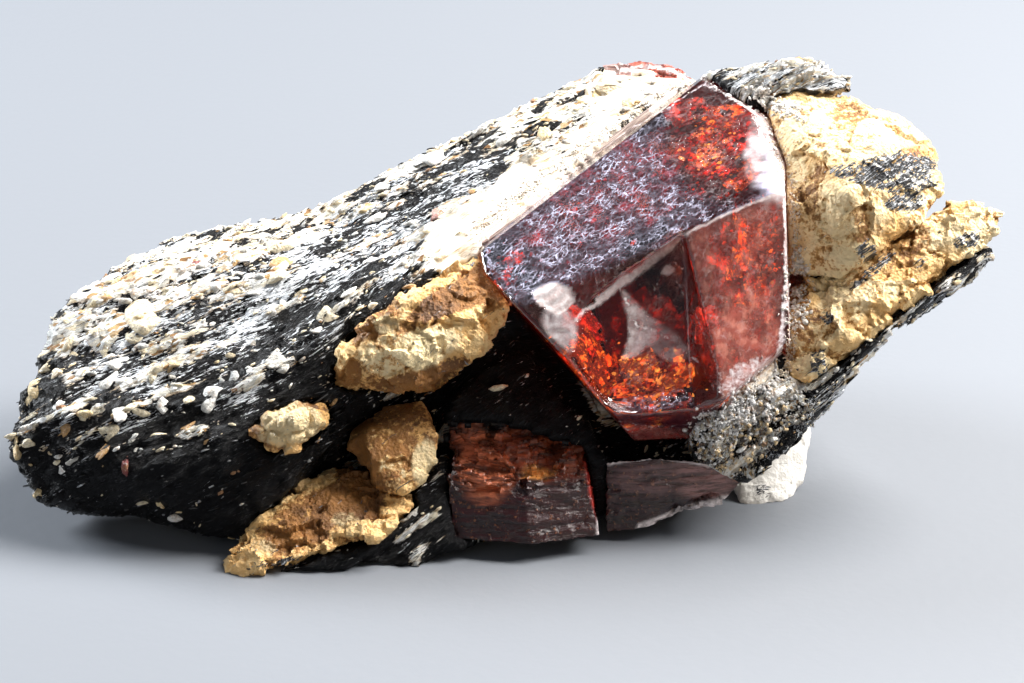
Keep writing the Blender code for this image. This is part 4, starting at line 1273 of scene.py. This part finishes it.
def main_zircon_piece(settings):
    obj = crystal_skin("zircon_main", "main_zircon", CRYSTAL_VOXEL)
    mesh = obj.data
    points, normals = points_of(mesh), normals_of(mesh)
    sight = sighted(points)
    ragged = np.stack([roughness(points, 0.8, 3, 43), roughness(points, 0.8, 3, 44)], 1)
    torn = sight + 0.22 * ragged
    upper = face_normal(CORNER_F, CORNER_D, CORNER_A)
    front = face_normal(CORNER_F, CORNER_G, CORNER_D)
    on_upper = smooth(0.965, 0.995, normals @ upper)
    on_front = smooth(0.965, 0.995, normals @ front)
    seen = smooth(-0.1, 0.15, normals @ unit((EYE - points))[0])
    ridge = np.maximum(0.7 * along_line(torn, RIDGE, 0.13), 0.75 * along_line(torn, RIDGE[1:4], 0.32))
    rings = np.cos(8.5 * np.hypot(sight[:, 0] - 1.2, (sight[:, 1] - 4.2) * 1.3))
    disc = smooth(0.45, 0.62, zone_weight(torn, 2.6, 2.8, 1.3, 0.95, -12))
    shreds = 0.55 + 0.5 * roughness(points * (1, 2.2, 1), 0.9, 4, 45)
    parts = np.maximum.reduce([inside(torn, part, 0.1) for part in VEIL_PARTS])
    milk = np.maximum.reduce([
        disc * (0.78 + 0.18 * rings), ridge * (0.45 + 0.4 * shreds),
        0.46 * zone_weight(torn, 3.0, 1.0, 0.9, 1.3, 25),
        parts * (0.06 + 0.75 * np.clip(shreds, 0, 1) ** 2), 0.6 * zone_weight(torn, 9.7, 4.5, 0.32, 0.3, 0),
        zone_weight(sight + 0.7 * ragged, 16.3, 11.5, 1.4, 2.7, 12) * np.clip(1.5 * shreds - 0.2, 0.1, 1),
    ]) * seen
    chipped = 0.34 * zone_weight(torn, 3.0, 0.9, 1.0, 1.6, 25)
    cracked = 0.5 * zone_weight(sight + 0.7 * ragged, 16.6, 11.4, 0.9, 2.2, 12)
    dusted = 0.6 * zone_weight(sight + 0.5 * ragged, 15.2, -2.2, 2.4, 1.2, 20)
    veil = 0.6 * along_line(torn, VEIL_SPIKES, 0.16)
    edges = np.maximum.reduce([
        0.55 * along_line(torn, UPPER_RIM, 0.1), 0.6 * along_line(torn, TOP_RIM, 0.2),
        0.75 * along_line(torn, RIGHT_RIM, 0.26), 0.45 * along_line(sight, NOTCH_EDGE, 0.09),
        0.5 * along_line(sight, BAND_EDGE, 0.1), 0.45 * along_line(sight, SHELL_CRACK, 0.1),
        0.45 * along_line(torn, LOWER_RIM, 0.1), 0.36 * along_line(torn, FOOT_RIM, 0.12),
    ])
    frost = np.maximum.reduce([0.5 * ridge, chipped, cracked, dusted, veil, edges]) * seen
    strength = 1 - 0.78 * zone_weight(sight, 12.8, 12.6, 3.4, 4.4, 20)
    above = inside(sight, UPPER_PART, 0.2) * seen
    scratched = np.maximum(on_upper, 0.7 * above) * strength + 0.2 * on_front * (1 - on_upper)
    scratched = scratched * (1 - 0.8 * disc)
    side = 0.62 * smooth(0.75, 0.92, normals[:, 0]) * smooth(-4, -2, sight[:, 1])
    right = inside(sight, RIGHT_FACE, 0.3) * seen
    below = inside(sight, FOOT_STRIP, 0.15) * seen
    haze = right * (0.2 + 0.4 * zone_weight(sight, 14.8, -0.2, 2.4, 3.2, 0)) + 0.03 * on_front + 0.4 * below
    pits, _ = chips(points, 0.7, 41)
    worn = 0.14 * cracked * (pits - 0.6) - disc * (0.1 + 0.02 * rings) + 0.2 * chipped * (pits - 0.5)
    worn += -0.05 * ridge - 0.03 * edges
    set_points(mesh, points + normals * (worn * seen)[:, None])
    edge = np.subtract(CORNER_B, CORNER_A)
    along = face_normal((0, 0, 0), upper, edge)
    edge = edge / np.linalg.norm(edge)
    note(mesh, "face", np.stack([points @ edge, points @ along, points @ upper], 1), "FLOAT_VECTOR")
    note(mesh, "frost", np.maximum(frost, side))
    note(mesh, "scratched", scratched)
    note(mesh, "milk", milk)
    note(mesh, "haze", haze)
    # The dusty film over the upper face, right face and foot strip, with a painted sheen on the upper face.
    note(mesh, "filmed", np.maximum.reduce([above * (0.3 + 0.7 * strength), 0.3 * right, 0.8 * below]))
    # Painted shade: darker low on the crystal away from its front face, on its foot strip, and in a patch
    # beside the shell crack.
    painted_shade_patch = 0.6 * zone_weight(torn, 9.9, 5.0, 1.5, 0.8, -55) * (1 - on_upper)
    under = (0.9 - 0.6 * below) * smooth(9.4, 8.6, points[:, 2]) * (1 - on_front)
    note(mesh, "dusk", np.maximum.reduce([below * 0.2, under, painted_shade_patch]))
    shade_smooth(mesh)
    return place_piece(obj, "zircon_main", main_zircon_finish(settings), "zircon_main")


def bevel_finish():
    """The worn narrow side of the main crystal, striped along its edge."""
    f = Finish("worn side")
    stripes = f.noise(f.stretched(f.noted("layer", "Vector"), (0.25, 1.0, 1.0)), 2.6, 3.0, 0.6)
    base = f.mix(stripes.step(0.4, 0.6), (0.20, 0.14, 0.13), (0.62, 0.50, 0.43))
    return f.done(f.surface(Base_Color=base, Roughness=0.35, IOR=1.6, Normal=f.bump(stripes, 0.06, 0.4)))


def bevel_piece():
    """A low rounded strip over the joint beside the main crystal's upper edge."""
    trees = [tree_of(bpy.data.objects[name]) for name in ("main_zircon", "biotite_rock")]
    start, end = (np.array(p) for p in BEVEL_LINE)
    beside = np.array([start[1] - end[1], end[0] - start[0]]) / np.linalg.norm(end - start)
    hits = [seen_at(trees, *(start + (end - start) * share)) for share in np.linspace(0, 1, 121)]
    hits = np.array([hit[0] for hit in hits if hit is not None])
    steps = len(hits) - 1
    padded = np.pad(hits, ((6, 6), (0, 0)), "edge")
    middle = np.stack([np.convolve(line, np.ones(13) / 13, "valid") for line in padded.T], 1)
    across, toward = np.array([*beside, 0]) @ SHOW_AXES, unit(EYE - middle)
    share = np.arange(steps + 1) / steps
    taper = np.sqrt(np.clip(np.minimum(share, 1 - share) * 12, 0.02, 1))
    wide = BEVEL_WIDTH * taper * (1 + 0.15 * roughness(middle, 1.5, 2, 91))
    bm = bmesh.new()
    layer = bm.verts.layers.float_vector.new("layer")
    rings = []
    for number in range(steps + 1):
        rings.append([])
        for turn in np.arange(BEVEL_SIDES) * math.tau / BEVEL_SIDES:
            around = across * math.cos(turn) + 0.45 * toward[number] * math.sin(turn)
            vert = bm.verts.new(Vector(middle[number] + wide[number] * around) * MM)
            vert[layer] = (number * 0.14, 2.2 * math.cos(turn), 2.2 * math.sin(turn))
            rings[-1].append(vert)
    for ring, after in zip(rings, rings[1:]):
        for corner in range(BEVEL_SIDES):
            bm.faces.new((ring[corner - 1], ring[corner], after[corner], after[corner - 1]))
    bm.faces.new(rings[0])
    bm.faces.new(rings[-1])
    bmesh.ops.recalc_face_normals(bm, faces=bm.faces)
    obj = object_from("worn_side_of_zircon", bm)
    shade_smooth(obj.data)
    return place_piece(obj, "zircon_main", bevel_finish())


def room_inside(tree, place):
    """How far a point is inside a closed mesh, and less than 0 outside it."""
    spot = Vector(place) * MM
    nearest, normal, _, _ = tree.find_nearest(spot)
    return (nearest - spot).dot(normal) / MM


def crack_sheet(tree, across, up, depth, length, width, turn, tilt, cover, color, seed):
    """A thin ragged sheet behind a place on the crystal, kept where it is well inside."""
    place, normal = seen_at([tree], across, up)
    way = unit((place - EYE)[None])[0]
    middle = place + unit((way - normal * 0.9)[None])[0] * depth
    c, s = math.cos(math.radians(turn)), math.sin(math.radians(turn))
    along = np.array([c, s, 0]) @ SHOW_AXES
    along = unit((along - normal * (along @ normal))[None])[0]
    beside = np.cross(normal, along)
    lean = math.radians(tilt)
    beside = beside * math.cos(lean) + normal * math.sin(lean)
    square = np.cross(along, beside)
    bm = bmesh.new()
    shard = bm.verts.layers.float_vector.new("shard")
    steps = int(2 * length / CRACK_GRID)
    bmesh.ops.create_grid(bm, x_segments=steps, y_segments=steps, size=1)
    flat = np.array([v.co for v in bm.verts])
    shards = flat * (length * 2.0, width * 2.6, 1) + (0, 0, 3.7 * seed)
    points = middle + flat[:, :1] * length * along + flat[:, 1:2] * width * beside
    points = points + square * (0.25 * roughness(points, 2.0, 2, seed))[:, None]
    ragged = np.hypot(flat[:, 0], flat[:, 1]) + 0.5 * roughness(points, 1.4, 3, seed + 1)
    holes = roughness(points, 0.9, 3, seed + 2) + cover
    for vert, point, lie, rim, hole in zip(list(bm.verts), points, shards, ragged, holes):
        vert.co, vert[shard] = Vector(point) * MM, lie
        if rim > 0.95 or hole < 0 or room_inside(tree, point) < 0.2:
            bm.verts.remove(vert)
    loose = [v for v in bm.verts if not v.link_faces]
    bmesh.ops.delete(bm, geom=loose, context="VERTS")
    bmesh.ops.solidify(bm, geom=bm.faces[:], thickness=CRACK_THICKNESS * MM)
    bmesh.ops.recalc_face_normals(bm, faces=bm.faces)
    obj = object_from("crack", bm)
    note(obj.data, "tint", np.tile((*color, 1), (len(obj.data.vertices), 1)), "FLOAT_COLOR")
    return obj


def cracks_piece():
    tree = tree_of(bpy.data.objects["main_zircon"])
    sheets = [crack_sheet(tree, *crack[:-1], PAINTED_GLOW_COLORS[crack[-1]], 90 + 5 * number)
              for number, crack in enumerate(CRACKS)]
    bm = bmesh.new()
    for sheet in sheets:
        bm.from_mesh(sheet.data)
        discard(sheet)
    obj = object_from("cracks_in_zircon", bm)
    return place_piece(obj, "zircon_main", painted_glow_finish())


def sparks_piece():
    tree = tree_of(bpy.data.objects["main_zircon"])
    rng = np.random.default_rng(71)
    places, squares, tints, sizes = [], [], [], []
    for across, up, length, width, turn, count, kind in SPARK_ZONES:
        c, s = math.cos(math.radians(turn)), math.sin(math.radians(turn))
        for _ in range(count):
            x, y = rng.normal(0, 0.5, 2) * (length, width)
            found = seen_at([tree], across + x * c - y * s, up + x * s + y * c)
            depth, spin = 0.35 + 2.2 * rng.random() ** 1.5, rng.standard_normal(3)
            radius, warmth = 0.03 + 0.12 * rng.random() ** 2.5, 0.4 + 0.9 * rng.random()
            if found is None:
                continue
            place, normal = found
            way = unit((place - EYE)[None])[0]
            inward = unit((way - normal * 0.9)[None])[0]
            if room_inside(tree, place + inward * depth) < radius * 1.2:
                continue
            places.append(place + inward * depth)
            squares.append(unit((-inward + 0.75 * spin)[None])[0])
            tints.append(np.array(PAINTED_GLOW_COLORS[kind]) * warmth)
            sizes.append([radius * 1.5, radius, 0.012])
    squares = np.array(squares)
    axes = tumbled(np.tile([[0.7, 0.5, 0.4]], (len(squares), 1)), squares, 0.2, rng)
    obj = strew("sparks_in_zircon", plate_shape("spark"), np.array(places), axes, np.array(sizes),
                np.array(tints), 0.25, seed=72)
    shards = np.repeat(rng.random((len(places), 3)) * 90, len(obj.data.vertices) // len(places), 0)
    note(obj.data, "shard", shards, "FLOAT_VECTOR")
    return place_piece(obj, "zircon_main", painted_glow_finish())


def blended(sight, start, zones):
    """A colour for each point, drawn towards each zone's own colour."""
    color = np.tile(np.array(start, float), (len(sight), 1))
    for *shape, shade in zones:
        weight = zone_weight(sight, *shape)[:, None]
        color = color * (1 - weight) + np.array(shade) * weight
    return color


def small_zircon_piece(node, name, start, zones, lines, broken, grooved):
    obj = crystal_skin(node, name, SMALL_CRYSTAL_VOXEL)
    mesh = obj.data
    points, normals = points_of(mesh), normals_of(mesh)
    sight = sighted(points)
    steps, _ = chips(points * (1, 1, 1.6), 1.9, 51)
    small, _ = chips(points * (1, 1, 2.0), 0.6, 52)
    grooves = roughness(points * (0.12, 0.12, 1), 0.35, 2, 53)
    breaks = zoned(sight, broken, 0.15)
    height = breaks * (0.62 * steps + 0.24 * small - 0.2) + grooved * (1 - breaks) * 0.13 * grooves
    set_points(mesh, points + normals * np.clip(height, -0.8, 0.12)[:, None])
    color = blended(sight, start, zones)
    note(mesh, "tint", np.concatenate([color, np.ones((len(color), 1))], 1), "FLOAT_COLOR")
    note(mesh, "frost", np.maximum.reduce([along_line(sight, *line) for line in lines]))
    shade_smooth(mesh)
    mesh.set_sharp_from_angle(angle=SHARP_TURN)
    return place_piece(obj, node, small_zircon_finish(name.replace("_", " ")), node)


# ---------------------------------------------------------------- the crust along the crystals

# Crumbs along the main crystal: line on the show plane, number, spread, largest radius, colour.
SEAMS = (
    (((-2.4, 6.85), (1.5, 9.95), (6.5, 13.5), (11.2, 16.4)), 700, 0.22, 0.09, (0.70, 0.60, 0.50)),
    (((16.4, 13.2), (17.5, 9.6), (17.75, 5.1), (17.6, 0.6), (17.0, -2.3)),
     700, 0.2, 0.1, (0.98, 0.84, 0.66)),
    (((15.2, 15.7), (16.4, 14.8), (18.0, 14.3)), 320, 0.3, 0.22, (0.97, 0.94, 0.88)),
    (((17.9, 5.2), (17.8, 1.2)), 300, 0.35, 0.2, (0.95, 0.90, 0.82)),
    (((11.9, -6.2), (14.2, -4.4), (17.0, -3.2)), 700, 0.7, 0.18, (1.0, 0.99, 0.98)),
    (((12.2, -7.4), (14.8, -6.0), (16.8, -4.6)), 110, 0.8, 0.22, (0.78, 0.58, 0.32)),
    (((11.6, -7.0), (14.4, -5.4), (17.2, -4.0)), 260, 1.0, 0.2, (0.03, 0.03, 0.035)),
)


SEAM_TRIES, SEAM_CRUMBS = 40000, 1500  # places tried and kept all round the main crystal


def seam_powder():
    """Crumbs in the joint between the main crystal and its socket."""
    crystal = bpy.data.objects["main_zircon"]
    holders = ("biotite_rock", "shoulder_of_feldspar", "tongue_of_feldspar")
    hosts = [tree_of(bpy.data.objects[name]) for name in holders]
    places, normals = spread_over(crystal.data, SEAM_TRIES, lambda centres: np.ones(len(centres)), 81)
    chosen = []
    for place, normal in zip(places, normals):
        spot, way = Vector(place) * MM, Vector(normal)
        if sighted(place[None])[0, 0] < 11 or min(host.find_nearest(spot)[3] for host in hosts) > 0.5 * MM:
            continue
        if all(host.ray_cast(spot + way * 0.02 * MM, way, 6 * MM)[0] is None for host in hosts):
            chosen.append((place, normal))
    places, normals = (np.array(part) for part in zip(*chosen))
    rng = np.random.default_rng(82)
    kept = rng.permutation(len(places))[:SEAM_CRUMBS]
    places, normals = places[kept], normals[kept]
    trees = [*hosts, tree_of(crystal)]
    size, white = 0.05 + 0.16 * rng.random(len(places)) ** 2, np.tile([0.90, 0.86, 0.85], (len(places), 1))
    for line, count, spread, largest, color in SEAMS:
        corners = np.array(line)
        share = rng.random(count) * (len(corners) - 1)
        leg = share.astype(int)
        spots = corners[leg] + (share - leg)[:, None] * (corners[leg + 1] - corners[leg])
        found = [seen_at(trees, *spot) for spot in spots + spread * rng.standard_normal((count, 2))]
        found = [hit for hit in found if hit is not None]
        places = np.concatenate([places, [place for place, _ in found]])
        normals = np.concatenate([normals, [normal for _, normal in found]])
        size = np.concatenate([size, 0.04 + (largest - 0.04) * rng.random(len(found)) ** 1.5])
        white = np.concatenate([white, np.tile(color, (len(found), 1))])
    count = len(places)
    axes = tumbled(rng.standard_normal((count, 3)), normals, 0.5, rng)
    sizes = size[:, None] * (0.7 + 0.6 * rng.random((count, 3))) * (1.2, 1.0, 0.6)
    tints = white * (0.8 + 0.25 * rng.random((count, 1)))
    obj = strew("powder_along_zircon", crumb_shape("dust", 1), places + normals * 0.02, axes, sizes, tints,
                0.1, 0.0, 4, 83)
    return place_piece(obj, "biotite_matrix", grain_finish())


# ---------------------------------------------------------------- operators

class ZIRCON_OT_rock(bpy.types.Operator):
    """Gives the biotite rock its layers, grains and colours"""
    bl_idname = "zircon.rock"
    bl_label = "Biotite rock"

    def execute(self, context):
        rock_piece(context.scene.zircon_rock)
        return {"FINISHED"}


class ZIRCON_OT_flakes(bpy.types.Operator):
    """Strews thin plates of mica over the rock"""
    bl_idname = "zircon.flakes"
    bl_label = "Mica flakes"

    def execute(self, context):
        flakes_piece(context.scene.zircon_rock)
        return {"FINISHED"}


class ZIRCON_OT_grains(bpy.types.Operator):
    """Strews pale grains over the rock and sets the large ones"""
    bl_idname = "zircon.grains"
    bl_label = "Pale grains"

    def execute(self, context):
        settings = context.scene.zircon_rock
        strewn_grains("pale_crumbs", settings.crumbs, crumb_shape("crumb", 1), 0.06, 0.22, 101)
        strewn_grains("pale_grains", settings.grains, crumb_shape("grain", 2), 0.2, 0.46, 111)
        shown_grains()
        return {"FINISHED"}


class ZIRCON_OT_feldspar(bpy.types.Operator):
    """Gives each lump of feldspar its cleavage, stains and mica"""
    bl_idname = "zircon.feldspar"
    bl_label = "Feldspar lumps"

    def execute(self, context):
        settings = context.scene.zircon_feldspar
        finish = feldspar_finish(settings)
        for node in FELDSPARS:
            place_piece(feldspar_piece(node, settings), node, finish, node)
        return {"FINISHED"}


class ZIRCON_OT_main_zircon(bpy.types.Operator):
    """Makes the clear red crystal and the cracks inside it, which glow with painted light"""
    bl_idname = "zircon.main_zircon"
    bl_label = "Main zircon"

    def execute(self, context):
        main_zircon_piece(context.scene.zircon_crystal)
        bevel_piece()
        cracks_piece()
        sparks_piece()
        seam_powder()
        return {"FINISHED"}


class ZIRCON_OT_small_zircons(bpy.types.Operator):
    """Makes the three small zircons"""
    bl_idname = "zircon.small_zircons"
    bl_label = "Small zircons"

    def execute(self, context):
        # Lower left: deep red; its orange-red parts are painted highlights, the red strip at its right edge
        # a painted glint, and the near-black part under the hollow painted shade.
        small_zircon_piece(
            "zircon_lower_left", "lower_left_zircon", (0.028, 0.004, 0.006),
            ((-1.7, -6.8, 1.8, 3.0, 0, (0.72, 0.20, 0.09)), (1.9, -6.8, 3.0, 1.7, -8, (0.28, 0.055, 0.02)),
             (1.7, -8.0, 1.0, 0.6, 0, (0.80, 0.34, 0.09)), (-1.2, -4.3, 0.9, 1.2, 0, (0.01, 0.005, 0.005)),
             (5.1, -9.3, 0.3, 2.0, 12, (0.42, 0.03, 0.02))),
            ((((5.5, -9.5), (5.4, -12.0)), 0.2),),
            ((-0.5, -6.8, 5.5, 2.3, 0, 1.0),), 1.0)
        # Lower right: its darker bottom part is painted shade.
        small_zircon_piece(
            "zircon_lower_right", "lower_right_zircon", (0.045, 0.018, 0.02),
            ((12.0, -8.8, 2.0, 1.2, -15, (0.30, 0.15, 0.14)), (8.4, -8.6, 2.0, 1.0, 0, (0.14, 0.07, 0.07)),
             (9.0, -10.8, 3.0, 1.0, 5, (0.03, 0.012, 0.016))),
            ((((8.0, -11.6), (11.0, -10.6), (13.4, -9.8)), 0.3),
             (((6.0, -7.6), (9.0, -7.1), (13.0, -7.8)), 0.2)),
            ((11.5, -11.0, 2.5, 1.0, 20, 0.9),), 1.0)
        small_zircon_piece(
            "zircon_rear", "rear_zircon", (0.62, 0.15, 0.11),
            ((6.4, 16.6, 1.2, 0.9, 0, (0.82, 0.50, 0.46)),),
            ((((5.8, 17.0), (8.6, 17.2), (11.2, 16.6)), 0.15),),
            ((8.0, 16.5, 3.0, 1.0, 0, 0.8),), 0.4)
        return {"FINISHED"}


# The lights beside the key light: name, place and aim in metres, size, power and colour. Then the air.
FILL_LIGHTS = (
    ("left rim", (-0.30, 0.16, 0.15), (0, 0, 0.01), 0.16, 2.6, (0.92, 0.96, 1.0)),
    ("right fill", (0.28, 0.03, 0.24), (0.01, -0.01, 0.01), 0.14, 2.0, (1.0, 0.97, 0.93)),
    ("front fill", (-0.25, -0.22, 0.16), (0, -0.01, 0.01), 0.2, 0.08, (0.95, 0.97, 1.0)),
    ("warm fill", (0.12, -0.30, 0.03), (0, -0.01, 0.01), 0.2, 0.15, (1.0, 0.82, 0.58)),
)
AIR_COLOR, AIR_STRENGTH = (0.64, 0.70, 0.80, 1), 0.13


class ZIRCON_OT_stage(bpy.types.Operator):
    """Adds the floor, the lights, the air and the camera"""
    bl_idname = "zircon.stage"
    bl_label = "Stage"

    def execute(self, context):
        make_stage(context.scene.zircon_stage)
        return {"FINISHED"}


def add_light(name, place, aim, size, power, color):
    lamp = bpy.data.lights.new(name, "AREA")
    lamp.shape, lamp.size, lamp.energy, lamp.color = "DISK", size, power, color
    obj = link(bpy.data.objects.new(name, lamp))
    obj.location = place
    obj.rotation_euler = (Vector(aim) - Vector(place)).to_track_quat("-Z", "Y").to_euler()


def make_stage(settings):
    bm = bmesh.new()
    bmesh.ops.create_grid(bm, x_segments=1, y_segments=1, size=1.5)
    floor = object_from("floor", bm)
    f = Finish("pale floor")
    grain = f.noise(f.place(), 1.1, 3.0)
    surface = f.surface(Base_Color=tuple(settings.floor), Roughness=0.6, Normal=f.bump(grain, 0.1, 0.2))
    floor.data.materials.append(f.done(surface))
    add_light("key", (0.17, 0.10, 0.28), (0, 0, 0.01), 0.20, settings.key, (1.0, 0.97, 0.93))
    for light in FILL_LIGHTS:
        add_light(*light)
    world = bpy.data.worlds.new("soft air")
    world.use_nodes = True
    background = world.node_tree.nodes["Background"]
    background.inputs["Color"].default_value = AIR_COLOR
    background.inputs["Strength"].default_value = AIR_STRENGTH
    bpy.context.scene.world = world
    camera = bpy.data.cameras.new("camera")
    camera.lens, camera.sensor_width, camera.clip_start = LENS, SENSOR, 0.01
    eye = link(bpy.data.objects.new("camera", camera))
    eye.location = Vector(EYE) * MM
    eye.rotation_euler = (math.pi / 2 - LEAN, 0, 0)
    bpy.context.scene.camera = eye
    bpy.context.scene.view_settings.view_transform = "Standard"


class ZIRCON_PT_panel(bpy.types.Panel):
    """Lists the pieces and their settings"""
    bl_idname = "ZIRCON_PT_panel"
    bl_label = "Zircon on biotite"
    bl_space_type = "VIEW_3D"
    bl_region_type = "UI"
    bl_category = "Zircon"

    def draw(self, context):
        for operator, group in STEPS:
            self.layout.operator(operator.bl_idname)
            if group:
                settings = getattr(context.scene, group)
                for name in settings.__annotations__:
                    self.layout.prop(settings, name)


STEPS = (
    (ZIRCON_OT_rock, "zircon_rock"), (ZIRCON_OT_flakes, None), (ZIRCON_OT_grains, None),
    (ZIRCON_OT_feldspar, "zircon_feldspar"), (ZIRCON_OT_main_zircon, "zircon_crystal"),
    (ZIRCON_OT_small_zircons, None), (ZIRCON_OT_stage, "zircon_stage"),
)
GROUPS = {
    "zircon_rock": RockSettings, "zircon_feldspar": FeldsparSettings, "zircon_crystal": ZirconSettings,
    "zircon_stage": StageSettings,
}
CLASSES = (*GROUPS.values(), *(operator for operator, _ in STEPS), ZIRCON_PT_panel)


def register():
    for cls in CLASSES:
        bpy.utils.register_class(cls)
    for name, group in GROUPS.items():
        setattr(bpy.types.Scene, name, bpy.props.PointerProperty(type=group))


def unregister():
    for name in GROUPS:
        delattr(bpy.types.Scene, name)
    for cls in reversed(CLASSES):
        bpy.utils.unregister_class(cls)


def main():
    register()
    for operator, _ in STEPS:
        getattr(bpy.ops.zircon, operator.bl_idname.split(".")[1])()


if __name__ == "__main__":
    main()
